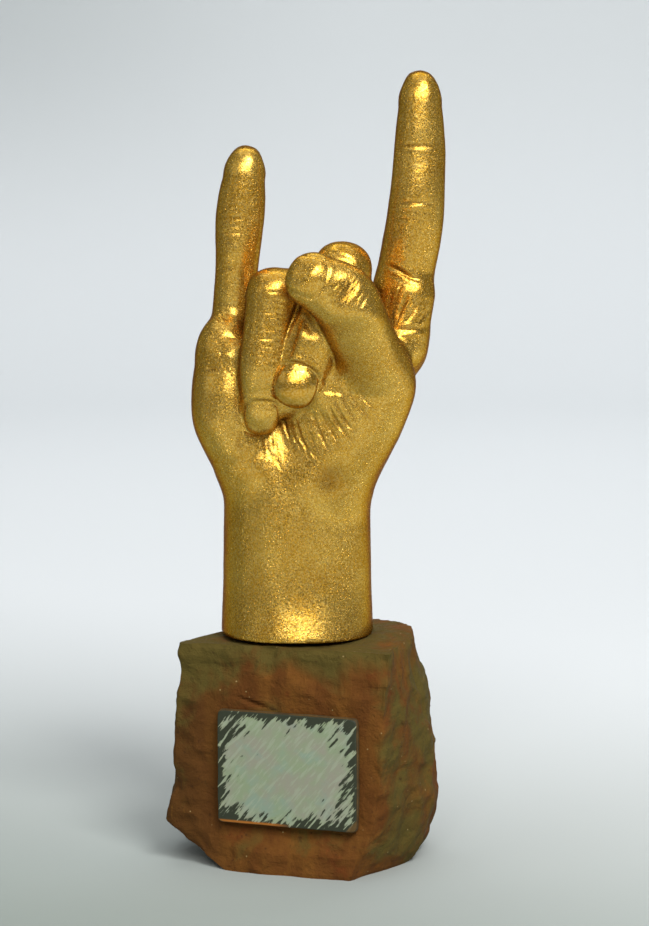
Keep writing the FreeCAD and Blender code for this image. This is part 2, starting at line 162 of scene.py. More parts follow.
def runningMean(rows, reach):
    padded = np.concatenate([np.repeat(rows[:1], reach, 0), rows, np.repeat(rows[-1:], reach, 0)])
    sums = np.cumsum(np.concatenate([np.zeros_like(padded[:1]), padded]), 0)
    count = 2 * reach + 1
    return (sums[count:] - sums[:-count]) / count


def chain(root, bones):
    # joints of a chain of bones (length, lean, fold)
    joints = [np.array(root, float)]
    for length, lean, fold in bones:
        joints.append(joints[-1] + length * boneDirection(lean, fold))
    return joints


def makeLimb(name, joints, girths, back, caps, blend, bend=4, soft=2, square=2.15):
    # girths: rows of distance along, half width, radius to the back and radius to the palm side
    # back: the direction of the limb's back, where the nail is. caps: length of the two rounded ends
    # blend: fillet radius at the root and at the tip
    stops = np.concatenate([[0.0], np.cumsum([np.linalg.norm(b - a) for a, b in zip(joints, joints[1:])])])
    along = np.linspace(0.0, stops[-1], int(stops[-1]) + 2)
    line = np.stack([np.interp(along, stops, [joint[axis] for joint in joints]) for axis in range(3)], 1)
    line = runningMean(runningMean(line, bend), bend)
    tangent = np.gradient(line, axis=0)
    tangent /= np.linalg.norm(tangent, axis=1)[:, None]
    hint = np.array(back, float)
    outward = hint - tangent * (tangent @ hint)[:, None]
    outward /= np.linalg.norm(outward, axis=1)[:, None]
    table = np.array(girths, float)
    radii = np.stack([np.interp(along, table[:, 0], table[:, column]) for column in (1, 2, 3)], 1)
    radii = runningMean(runningMean(radii, soft), soft)
    return dict(name=name, along=along, line=line, tangent=tangent, outward=outward,
                across=np.cross(outward, tangent), radii=radii, caps=caps, blend=blend, square=square)


def limbCoordinates(limb, points):
    # nearest place on the centre line, then the offsets across, outward and past the ends
    line, tangent = limb["line"], limb["tangent"]
    best = np.full(len(points), np.inf)
    index = np.zeros(len(points), int)
    for number in range(len(line)):
        offset = points - line[number]
        distance = np.einsum("ij,ij->i", offset, offset)
        nearer = distance < best
        best[nearer] = distance[nearer]
        index[nearer] = number
    spacing = np.linalg.norm(np.gradient(line, axis=0), axis=1)
    forward = np.einsum("ij,ij->i", points - line[index], tangent[index]) / spacing[index]
    place = np.clip(index + np.clip(forward, -0.5, 0.5), 0, len(line) - 1)
    low = np.minimum(place.astype(int), len(line) - 2)
    share = (place - low)[:, None]

    def mixed(rows):
        return rows[low] * (1 - share) + rows[low + 1] * share

    offset = points - mixed(line)
    past = np.einsum("ij,ij->i", offset, mixed(tangent))
    side = np.einsum("ij,ij->i", offset, mixed(limb["across"]))
    out = np.einsum("ij,ij->i", offset, mixed(limb["outward"]))
    length = limb["along"][-1] / (len(line) - 1)
    return place * length, side, out, past, mixed(limb["radii"])


def limbDistance(limb, points):
    # q is the size of the superellipsoid through the point, 1 on the skin: the distance is (q - 1) / slope of q
    along, side, out, past, radii = limbCoordinates(limb, points)
    width = radii[:, 0]
    lean = smoothStep(-0.5 * width, 0.5 * width, out)
    depth = radii[:, 2] * (1 - lean) + radii[:, 1] * lean
    cap = np.where(past > 0, limb["caps"][1], limb["caps"][0])
    a, b, c = np.abs(side) / width, np.abs(out) / depth, np.abs(past) / cap
    square = limb["square"]
    ring = (a ** square + b ** square) ** (1 / square)
    q = (ring ** 2.2 + c ** 2.2) ** (1 / 2.2)
    size = np.maximum(np.sqrt(a * a + b * b + c * c), 1e-6)
    slope = np.sqrt((a / width) ** 2 + (b / depth) ** 2 + (c / cap) ** 2) / size
    return (q - 1) / np.maximum(slope, 1e-6), along


def handField(limbs, points, owner=False):
    # smooth union: the smaller of two distances, less a fillet where they are within reach of each other
    far = 12.0
    field, nearest = np.full(len(points), far), np.full(len(points), far)
    owners = np.zeros(len(points), int)
    for number, limb in enumerate(limbs):
        margin = limb["radii"].max() + 14
        low, high = limb["line"].min(0) - margin, limb["line"].max(0) + margin
        near = np.nonzero(np.all((points > low) & (points < high), 1))[0]
        distance, along = limbDistance(limb, points[near])
        length = limb["along"][-1]
        share = smoothStep(0.25 * length, 0.6 * length, along)
        reach = limb["blend"][0] * (1 - share) + limb["blend"][1] * share
        before = field[near]
        mix = np.clip(0.5 + 0.5 * (before - distance) / reach, 0, 1)
        field[near] = before * (1 - mix) + distance * mix - reach * mix * (1 - mix)
        closer = distance < nearest[near]
        nearest[near[closer]] = distance[closer]
        owners[near[closer]] = number
    field = np.maximum(field, wristHeight - points[:, 2])
    return (field, owners) if owner else field


def gridField(limbs, low, counts, step, coarse=4):
    # The field at every grid point. Blocks of points far from the skin get the value at the block's middle.
    middles = [low[n] + step * (np.arange(0, counts[n], coarse) + (coarse - 1) / 2) for n in range(3)]
    grid = np.stack(np.meshgrid(*middles, indexing="ij"), -1)
    rough = handField(limbs, grid.reshape(-1, 3)).reshape(grid.shape[:3])
    field = rough.repeat(coarse, 0).repeat(coarse, 1).repeat(coarse, 2)
    field = field[:counts[0], :counts[1], :counts[2]].astype(np.float32)
    near = np.abs(field) < 1.15 * coarse * step
    field[near] = handField(limbs, low + step * np.argwhere(near))
    return field


def surfaceNet(field, low, step):
    # one point in every cell that the skin crosses, at the mean of its crossings, and a quad on every crossed edge
    shape = np.array(field.shape) - 1
    sums = np.zeros((*shape, 3), np.float32)
    count = np.zeros(shape, np.int16)

    def part(corner):
        i, j, k = corner
        return field[i:shape[0] + i, j:shape[1] + j, k:shape[2] + k]

    for axis in range(3):
        for first in [corner for corner in itertools.product((0, 1), repeat=3) if not corner[axis]]:
            second = tuple(1 if n == axis else c for n, c in enumerate(first))
            a, b = part(first), part(second)
            crossed = (a < 0) != (b < 0)
            share = np.where(crossed, a / np.where(crossed, a - b, 1), 0)
            for n in range(3):
                sums[..., n] += share if n == axis else np.where(crossed, first[n], 0)
            count += crossed
    used = count > 0
    number = np.full(used.shape, -1, int)
    cells = np.argwhere(used)
    number[used] = np.arange(len(cells))
    points = low + step * (cells + sums[used] / count[used][:, None])
    inside = field < 0
    quads = []
    for axis in range(3):
        u, v = [n for n in range(3) if n != axis]
        a = inside.take(range(inside.shape[axis] - 1), axis)
        b = inside.take(range(1, inside.shape[axis]), axis)
        edges = np.argwhere(a != b)
        edges = edges[(edges[:, u] > 0) & (edges[:, v] > 0) & (edges[:, u] < shape[u]) & (edges[:, v] < shape[v])]
        ring = []
        for du, dv in ((-1, -1), (0, -1), (0, 0), (-1, 0)):
            cell = edges.copy()
            cell[:, u] += du
            cell[:, v] += dv
            ring.append(number[tuple(cell.T)])
        quad = np.stack(ring, 1)
        turned = a[tuple(edges.T)] == (axis == 1)
        quad[turned] = quad[turned][:, ::-1]
        quads.append(quad)
    return points, np.concatenate(quads)


def fieldSlope(limbs, points, delta=0.25):
    # value and unit gradient of the field by four values around each point
    corners = np.array([[1, -1, -1], [-1, -1, 1], [-1, 1, -1], [1, 1, 1]], float)
    values = [handField(limbs, points + delta * corner) for corner in corners]
    gradient = sum(value[:, None] * corner for value, corner in zip(values, corners)) / (4 * delta)
    size = np.maximum(np.linalg.norm(gradient, axis=1), 1e-6)
    return sum(values) / 4, gradient / size[:, None], size


def settle(limbs, points, rounds):
    # moves the points onto the skin along the field's slope; the flat underside of the wrist stays where it is
    for _ in range(rounds):
        value, normal, size = fieldSlope(limbs, points)
        move = np.clip(value / size, -0.5, 0.5)
        free = points[:, 2] > wristHeight + 0.6
        points = np.where(free[:, None], points - normal * move[:, None], points)
    return points


toBack, toPalm = (0, 1, 0), (0, -1, 0)
wristHeight = 77.2


def handLimbs():
    limbs = []

    def add(name, joints, girths, back, caps, blend, **more):
        joints = [np.array(joint, float) for joint in joints]
        limbs.append(makeLimb(name, joints, girths, back, caps, blend, **more))

    add("core", [(0, 0, 60), (0, 0, 125), (0.6, 2.2, 142), (2.5, 5, 156), (4, 7.2, 166)],
        [(0, 25.9, 22.6, 30), (18, 25.9, 22.6, 26.1), (22, 25.8, 22.5, 25), (27, 25.6, 22.2, 23.6),
         (33, 25.3, 22, 22.5), (42, 25.2, 21.8, 21.9), (52, 25, 21.4, 21.8), (62, 24.8, 20.4, 21.4),
         (70, 25.6, 19.8, 20.6), (78, 27.8, 19.2, 19.8), (86, 30.3, 18.6, 18.4), (96, 32, 17.6, 17),
         (106.5, 31.5, 16.2, 15.5)],
        toBack, (8, 8), (8, 8), bend=5, soft=3, square=2.3)
    for name, root, bone, low, high in [
        ("indexMetacarpal", (10, 4.5, 130), (46.5, 23.5, -6), (9, 12, 12), (11.6, 12.5, 13)),
        ("middleMetacarpal", (4, 4.5, 128), (49, 13, -9), (9, 12, 12), (11.2, 13, 13)),
        ("ringMetacarpal", (-4, 4.5, 128), (45.5, 0, -9), (9, 12, 12), (10.8, 12.6, 13)),
        ("littleMetacarpal", (-10, 4.5, 130), (39, -19, -4), (9, 12, 12), (10.4, 11.8, 12.5)),
    ]:
        add(name, chain(root, [bone]), [(0, *low), (bone[0], *high)], toBack, (8, 9), (9, 9))
    add("hypothenar", chain((-18, -8, 136), [(16, -22, 0), (20, -2, -4)]),
        [(0, 8.8, 10, 10), (16, 11.6, 11.8, 12.4), (26, 11.2, 11, 12), (36, 9.4, 10, 9.2)],
        toBack, (9, 16), (9, 7))
    add("indexFinger", chain((31.8, 9, 172), [(47, 10.2, 11), (22, 3.3, 3), (17.3, 0, 0)]),
        [(0, 11.5, 11, 11.5), (18, 10.4, 9.6, 11), (30, 9.7, 9.0, 10.2), (47, 9.7, 9.8, 8.7), (58, 9.1, 8.3, 8.9),
         (69, 8.7, 7.9, 7.5), (77, 8.2, 6.7, 7.5), (86.3, 7.2, 5.9, 7.1)],
        toBack, (9, 12), (6, 3))
    add("littleFinger", chain((-21.6, 7, 166), [(35, 2.0, 11), (17, 4, 4), (15.5, 6, 0)]),
        [(0, 9.5, 9.5, 10), (18, 7.9, 8.3, 9), (35, 7.2, 8.3, 7.3), (43, 7.6, 7.3, 7.8), (51.5, 8.3, 7.2, 7.0),
         (59, 8.1, 6.3, 7.2), (67.5, 7.0, 5.8, 7.0)],
        toBack, (9, 11), (6, 3))
    ringBones = [(39, -10, 55), (26.5, 8.5, 176), (13, 1, 189)]
    ringJoints = chain((-3.6, 12.5, 172.5), ringBones)
    add("ringProximal", ringJoints[:2], [(0, 9.8, 10, 10), (20, 9.2, 9, 9), (39, 8.8, 8.4, 8.4)],
        (0, 0.5, 0.85), (9, 8.2), (6, 3))
    add("ringEnd", ringJoints[1:],
        [(0, 8.7, 8.2, 7.6), (10, 8.2, 7.4, 7.5), (26.5, 7.9, 7.5, 7), (34, 7.1, 6.3, 7), (39.5, 6.5, 5.7, 6.6)],
        toPalm, (8.4, 9.5), (2, 1.2))
    middleBones = [(42.5, 0, 51), (28.5, 22, 176), (11.5, 22, 173)]
    middleJoints = chain((15.6, 13, 176), middleBones)
    add("middleProximal", middleJoints[:2], [(0, 10, 10.5, 10.5), (20, 9.6, 9.4, 9.4), (41, 9.3, 8.7, 8.7)],
        (0, 0.6, 0.75), (9, 8.6), (6, 3))
    add("middleEnd", middleJoints[1:],
        [(0, 9.2, 8.5, 8), (10, 8.6, 7.8, 7.8), (28, 9.2, 7.8, 7.4), (34, 8.7, 6.5, 7.2), (40, 7.9, 5.6, 6.8)],
        toPalm, (8.8, 9.5), (2, 1.2))
    add("thumb", chain((11, -8, 132), [(36.5, 28, 9), (37.5, -22.5, 32.5), (13, -62, 9.5)]),
        [(0, 12.2, 13, 13), (14, 14.2, 13.5, 13.5), (24, 14.4, 12.8, 12.8), (36, 13.2, 12, 12),
         (52, 11, 10.4, 10), (67, 10.8, 9.9, 9.6), (75, 11.3, 10, 9.2), (81, 10, 8.2, 8.8), (87, 9, 7.2, 8.3)],
        (0, -1, 0.15), (9, 9.5), (9, 1.5))
    add("webPad", chain((35.2, -1, 174), [(20, 8, -2)]), [(0, 8.3, 8, 8.5), (20, 8.8, 8, 8.6)], toBack,
        (8, 8), (6, 2.5))
    add("palmPad", [(17, -13.5, 161), (4.5, -12, 150.5)], [(0, 7.5, 8, 8), (16, 7.5, 8, 8)], toBack,
        (6, 7), (7, 7))
    add("tipCrease", [(0.5, -14.5, 198), (-1.8, -16.8, 178), (-4.2, -16.5, 156)],
        [(0, 5.4, 5.6, 5.6), (20, 5.2, 5.6, 5.6), (40, 5.4, 5.6, 5.6)], toBack, (5, 5), (3.6, 3.6))
    add("underThumb", [(20, -16.5, 174), (11.5, -15.5, 157)], [(0, 8.5, 8, 8), (17, 8, 7.8, 8)], toBack,
        (7, 7), (4, 4))
    add("ringSide", [(-20.5, -10.5, 173), (-20.5, -11.5, 150), (-19.5, -11.5, 141)],
        [(0, 6.6, 7, 7.2), (23, 6.6, 7, 7.2), (32, 6.6, 7, 7.2)], toBack, (6, 6), (4, 4))
    return limbs


def refined(points, quads, flagged):
    # Splits every flagged quad in four. A quad beside them takes their new edge points into its own outline.
    pairs = np.stack([quads, np.roll(quads, -1, 1)], -1)
    ordered = np.sort(pairs.reshape(-1, 2), 1)
    keys = ordered[:, 0].astype(np.int64) * (len(points) + 1) + ordered[:, 1]
    unique, first, edge = np.unique(keys, return_index=True, return_inverse=True)
    edge = edge.reshape(quads.shape)
    split = np.zeros(len(unique), bool)
    split[edge[flagged].ravel()] = True
    number = np.full(len(unique), -1)
    number[split] = len(points) + np.arange(split.sum())
    middles = points[ordered[first[split]]].mean(1)
    centres = points[quads[flagged]].mean(1)
    centre = len(points) + len(middles) + np.arange(len(centres))
    grown = np.concatenate([points, middles, centres])
    chosen, around = quads[flagged], number[edge[flagged]]
    small = [np.stack([chosen[:, n], around[:, n], centre, around[:, n - 1]], 1) for n in range(4)]
    rest, restEdges = quads[~flagged], number[edge[~flagged]]
    plain = np.all(restEdges < 0, 1)
    regular = np.concatenate(small + [rest[plain]])
    others = []
    for pattern in range(1, 16):
        wanted = np.array([bool(pattern >> n & 1) for n in range(4)])
        match = np.all((restEdges >= 0) == wanted, 1)
        if not match.any():
            continue
        columns = []
        for n in range(4):
            columns.append(rest[match][:, n])
            if wanted[n]:
                columns.append(restEdges[match][:, n])
        others.append(np.stack(columns, 1))
    return grown, regular, others


def nearStroke(places, stroke):
    # distance from a stroke drawn in the picture, which side of it, and the share of its length, all in pixels
    stroke = np.array(stroke, float)
    lengths = np.linalg.norm(np.diff(stroke, axis=0), axis=1)
    stops = np.concatenate([[0], np.cumsum(lengths)])
    best = np.full(len(places), 1e9)
    share = np.zeros(len(places))
    for start, end, stop, length in zip(stroke, stroke[1:], stops, lengths):
        ahead = (end - start) / length
        offset = places - start
        along = np.clip(offset @ ahead, 0, length)
        distance = np.hypot(*(offset - along[:, None] * ahead).T)
        closer = distance < best
        best[closer] = distance[closer]
        share[closer] = ((stop + along) / stops[-1])[closer]
    return best, share


def softened(stroke, count=14):
    # a smooth curve through a few points: each coordinate follows the length with its corners averaged
    stroke = np.array(stroke, float)
    stops = np.concatenate([[0], np.cumsum(np.linalg.norm(np.diff(stroke, axis=0), axis=1))])
    along = np.linspace(0, stops[-1], count)
    rows = np.stack([np.interp(along, stops, stroke[:, axis]) for axis in (0, 1)], 1)
    middle = runningMean(rows, 1)
    middle[0], middle[-1] = rows[0], rows[-1]
    return middle


handSettings = {
    "step": 1.0,  # width of the field's cells
    "boxLow": (-44.0, -54.0),
    "boxHigh": (56.0, 40.0, 270.0),
    "palmHeights": (134, 218),  # where the palm side has finer faces
    "palmFront": 6,
    "tipHeights": (214, 236),  # above which the little and the index finger have finer faces
    "pixel": 0.335,  # width of a pixel at the palm
    "tendons": {"index": 0.55, "middle": 0.65, "ring": 0.6, "little": 0.5},
    "tendonReach": (8, 40),
    # limb, places of the grooves along it, their depth and half width
    "knuckles": [
        ("indexFinger", (42, 44.5, 47, 49.5, 52), 0.3, 0.7),
        ("indexFinger", (67.5, 69.5), 0.22, 0.6),
        ("littleFinger", (31, 33, 35, 37), 0.26, 0.6),
        ("littleFinger", (50.5, 52.3), 0.2, 0.55),
    ],
    "nails": {
        "thumb": {"length": 12.5, "width": 0.70, "tilt": 0.1, "rim": 0.5, "gloss": 0.2},
        "middleEnd": {"length": 14.0, "width": 0.84, "tilt": 2.6, "rim": 0.9, "gloss": 0.8},
        "ringEnd": {"length": 13.2, "width": 0.86, "tilt": 1.2, "rim": 0.65, "gloss": 0.5},
        "indexFinger": {"length": 13.0, "width": 0.80, "tilt": 0.2, "rim": 0.9, "gloss": 0.8},
        "littleFinger": {"length": 10.5, "width": 0.80, "tilt": 0.2, "rim": 0.9, "gloss": 0.8},
    },
}
palmLimbs = ("core", "hypothenar", "palmPad", "underThumb", "ringSide", "thumb", "indexMetacarpal",
             "middleMetacarpal", "ringMetacarpal", "littleMetacarpal")

# Folds and wrinkles of the palm side, as the camera sees them: the limbs that they lie on, then rows of width and
# depth in millimetres (a negative depth is a mound) and of points in pixels
drawnStrokes = [
    # index finger
    (("indexFinger",), [
        (0.55, 0.6, 394, 148, 404, 145.5, 420, 144.5, 436, 146, 444, 149),
        (0.45, 0.22, 398, 151, 410, 149.5, 426, 149, 440, 151),
        (0.55, 0.6, 390, 206, 402, 203, 418, 202.5, 432, 204, 441, 207),
        (0.5, 0.35, 391, 212, 404, 211, 420, 211.5, 436, 213),
        (0.5, 0.35, 390, 217, 402, 219, 418, 219.5, 430, 218),
    ]),
    (("indexFinger", "webPad"), [
        (0.8, 0.75, 379, 262, 392, 267, 407, 276, 418, 280, 430, 279),
        (0.6, 0.4, 381, 270, 395, 276, 410, 283, 422, 286),
    ]),
    # pad at the root of the index finger
    (("indexFinger", "webPad", "indexMetacarpal"), [
        (0.6, 0.5, 395, 287, 390, 300, 388, 316),
        (0.6, 0.5, 410, 292, 402, 308, 395, 324),
        (0.55, 0.48, 421, 298, 413, 312, 403, 327),
        (0.5, 0.38, 430, 306, 424, 317, 415, 327),
        (0.5, 0.4, 403, 283, 396, 296, 392, 306),
        (0.8, 0.45, 391, 329, 408, 330, 426, 328, 433, 325),
    ]),
    # little finger
    (("littleFinger",), [
        (0.5, 0.35, 216, 219, 228, 217, 244, 218, 257, 221),
        (0.45, 0.28, 216, 234, 230, 232.5, 248, 234),
        (0.5, 0.3, 217, 270, 228, 268, 242, 269),
    ]),
    (("littleFinger",) + palmLimbs, [
        (0.6, 0.4, 215, 316, 219, 319, 224, 323),
        (0.5, 0.35, 218, 313, 223, 317, 229, 322),
        (0.8, 0.3, 222, 335, 230, 337, 237, 340, 243, 345),
    ]),
    # hypothenar side
    (palmLimbs, [
        (0.8, 0.35, 204, 369, 214, 368, 227, 369),
        (0.9, 0.45, 240, 345, 239, 380, 238, 420, 239, 438),
        (0.9, 0.28, 238, 420, 239, 445, 244, 474),
        (0.8, 0.36, 262, 424, 266, 444, 269, 472),
        (0.5, 0.2, 273, 430, 276, 450, 280, 467),
        (0.5, 0.18, 268, 446, 272, 458, 277, 470),
    ]),
    # fan of wrinkles on the thumb side of the palm
    (palmLimbs, [
        (0.42, 0.36, 281, 411, 285, 425, 291, 442, 294, 450),
        (0.4, 0.28, 288, 424, 294, 438, 303, 452, 308, 459),
        (0.45, 0.48, 294, 415, 299, 432, 308, 455, 312, 466),
        (0.4, 0.28, 304, 420, 309, 434, 317, 449, 321, 456),
        (0.45, 0.5, 311, 408, 316, 424, 323, 440, 332, 456, 336, 464),
        (0.42, 0.42, 318, 404, 323, 417, 331, 431, 341, 447, 346, 455),
        (0.4, 0.25, 324, 412, 331, 425, 337, 434, 340, 438),
        (0.45, 0.53, 326, 398, 332, 414, 341, 429, 353, 441, 359, 447),
        (0.42, 0.48, 331, 387, 337, 407, 347, 425, 359, 433, 365, 437),
        (0.45, 0.5, 336, 381, 344, 400, 349, 411, 358, 423, 362, 429),
        (0.4, 0.28, 341, 389, 350, 402, 361, 412, 366, 417),
        (0.42, 0.42, 347, 388, 355, 402, 369, 418, 376, 426),
        (0.4, 0.25, 358, 389, 364, 399, 373, 408, 378, 412),
        (0.42, 0.31, 296, 434, 309, 450, 323, 464, 330, 471),
        (0.4, 0.25, 272, 450, 276, 459, 281, 469, 284, 474),
        (5.0, 1, 312, 486, 330, 480, 350, 470),
    ]),
    # thumb
    (("thumb",), [
        (5.4, -1, 302, 265, 320, 275, 338, 287),
        (2.6, 0.9, 358, 274, 346, 294, 333, 314),
        (4.8, -1.4, 352, 303, 368, 317, 385, 332),
        (0.42, 0.26, 347, 278, 342, 286, 336, 295, 331, 302),
        (0.36, 0.16, 352, 283, 348, 291, 344, 297),
        (0.4, 0.22, 360, 281, 354, 290, 348, 301, 345, 311),
        (0.34, 0.14, 365, 289, 359, 297, 355, 303),
        (0.38, 0.18, 372, 290, 365, 298, 358, 308, 354, 317),
        (0.36, 0.15, 379, 302, 371, 308, 365, 316),
        (0.34, 0.14, 339, 280, 335, 287, 330, 294),
    ]),
    # middle finger, with the dark crevice between it, the ring finger and the thumb
    (("middleEnd", "tipCrease", "middleProximal"), [
        (2.2, 1.5, 301, 300, 304, 318, 312, 331, 326, 338),
    ]),
    (("middleEnd", "tipCrease"), [
        (1.1, 0.8, 300, 304, 296, 330, 290, 352, 284, 374),
    ]),
    (("middleEnd", "middleProximal"), [
        (0.5, 0.35, 331, 246, 344, 248.5, 358, 254),
        (0.45, 0.25, 327, 252, 340, 254, 354, 260),
    ]),
    (("middleEnd",), [
        (0.45, 0.4, 319, 377, 326, 383, 329, 392),
        (0.45, 0.3, 300, 358, 309, 362, 318, 369),
    ]),
    # ring finger
    (("ringEnd", "ringProximal"), [
        (0.45, 0.18, 262, 293, 275, 292, 290, 294),
    ]),
    (("ringEnd",), [
        (0.4, 0.15, 258, 297, 272, 297, 289, 299),
        (0.45, 0.18, 260, 301, 274, 300.5, 291, 303),
        (0.45, 0.18, 256, 313, 272, 312.5, 290, 315),
        (0.4, 0.15, 258, 317, 273, 317, 288, 319),
    ]),
]
strokes = [(limbNames, width, depth, np.reshape(places, (-1, 2)))
           for limbNames, rows in drawnStrokes for width, depth, *places in rows]


def hatchStrokes(limbNames, start, end, count, reach, slope, depth, seed):
    # many fine strokes across a path: middles at equal steps along it, each a little longer, shorter or turned
    width, aside, turn = 0.36, 1.6, 7  # in millimetres, pixels and degrees
    chance = np.random.RandomState(seed)
    share = (np.arange(count) + chance.rand(count) * 0.6) / count
    start, end = np.array(start, float), np.array(end, float)
    middles = start + share[:, None] * (end - start) + chance.randn(count, 2) * aside
    angles = np.radians(slope + chance.randn(count) * turn)
    half = reach * (0.6 + 0.6 * chance.rand(count)) / 2
    arms = np.stack([np.cos(angles), np.sin(angles)], 1) * half[:, None]
    return [(limbNames, width, depth * (0.6 + 0.7 * chance.rand()), np.array([middle - arm, middle + arm]))
            for middle, arm in zip(middles, arms)]


hatches = [
    # limbs, start and end of the path in pixels, then count, length, slope, depth and seed of its strokes
    (("ringEnd",), (276, 318), (262, 386), 44, 36, 8, 0.065, 3),
    (("thumb",), (336, 284), (382, 316), 26, 16, 122, 0.1, 5),
    (("middleEnd", "middleProximal"), (345, 262), (322, 330), 26, 26, 12, 0.09, 6),
    (palmLimbs, (216, 338), (226, 372), 18, 13, 40, 0.14, 8),
    (palmLimbs, (216, 342), (228, 370), 16, 13, -48, 0.14, 9),
    (("indexFinger", "webPad"), (396, 284), (418, 312), 16, 12, 122, 0.16, 12),
    (palmLimbs, (300, 440), (350, 425), 22, 16, 52, 0.14, 14),
]
for row in hatches:
    strokes += hatchStrokes(*row)


def addNail(limb, points, shift, shades):
    # A nail on the back of a limb's end. q is 1 on its outline, a superellipse in length and width. The fold
    # around it is a groove with a ridge outside, and the free edge stands proud of the fingertip.
    size = handSettings["nails"][limb["name"]]
    along, side, out, past, radii = limbCoordinates(limb, points)
    reach = limb["along"][-1] + limb["caps"][1]
    place = along + np.maximum(past, 0)
    forward = (place - (reach - size["length"] / 2 + 0.4)) / (size["length"] / 2 + 0.4)
    width = size["width"] * radii[:, 0]
    across = side / width
    q = (np.abs(across) ** 2.5 + np.abs(forward) ** 2.7) ** (1 / 2.6)
    distance = (q - 1) * np.minimum(width, size["length"] / 2)
    upper = smoothStep(-0.05, 0.25, out / radii[:, 1])
    notTip = 1 - smoothStep(0.55, 0.9, forward)
    groove = -0.4 * size["rim"] * bell(distance - 0.05, 0.42) * notTip
    ridge = 0.32 * size["rim"] * bell(distance - 1.3, 0.9) * notTip
    plate = (0.12 + 0.7 * size["tilt"] * (forward + 0.35)) * smoothStep(0.3, -0.6, distance)
    plate += 0.34 * smoothStep(0.35, 0.85, forward) * smoothStep(0.5, -0.3, distance)
    under = -0.42 * bell(distance - 0.55, 0.5) * smoothStep(0.7, 0.95, forward)
    here = (upper > 0) & (np.abs(distance) < 8)
    shift[here] += ((groove + ridge + plate + under) * upper)[here]
    # painted shade in the fold round the nail
    fold = 0.5 * size["rim"] * bell(distance - 0.15, 0.4) * upper * notTip
    gloss = size["gloss"] * smoothStep(0.2, -0.3, distance) * upper
    shades["line"][here] = np.maximum(shades["line"], fold)[here]
    shades["nail"][here] = np.maximum(shades["nail"], gloss)[here]


def knuckleLines(limb, points, places, height, reach, shift, shades):
    # grooves across the back of a limb: a bell in the distance along it, bowed by the square of the side offset
    along, side, out, past, radii = limbCoordinates(limb, points)
    share = side / radii[:, 0]
    back = smoothStep(0.1, 0.6, out / radii[:, 1])
    for place in places:
        bow = along - place - 1.1 * np.sign(place - np.mean(places)) * share ** 2
        fade = back * smoothStep(1.0, 0.6, np.abs(share)) * (np.abs(past) < 3)
        shift -= height * bell(bow, reach) * fade
        # painted shade along each groove
        shades["line"] = np.maximum(shades["line"], 0.4 * bell(bow, reach) * fade)
    shift += 0.5 * height * bell(along - np.mean(places), 4.5) * back * (np.abs(past) < 3)


def addTendon(limb, points, start, end, height, shift):
    # a low ridge down the middle of a bone's back, with soft ends
    along, side, out, past, radii = limbCoordinates(limb, points)
    back = smoothStep(0.25, 0.8, out / radii[:, 1])
    fade = smoothStep(start - 8, start + 4, along) * smoothStep(end + 4, end - 8, along)
    shift += height * bell(side, 1.9) * back * fade


def facing(points, normal):
    # cosine of the angle between the skin and the direction to the camera
    toEye = cameraPlace - points
    return np.einsum("ij,ij->i", toEye / np.linalg.norm(toEye, axis=1)[:, None], normal)


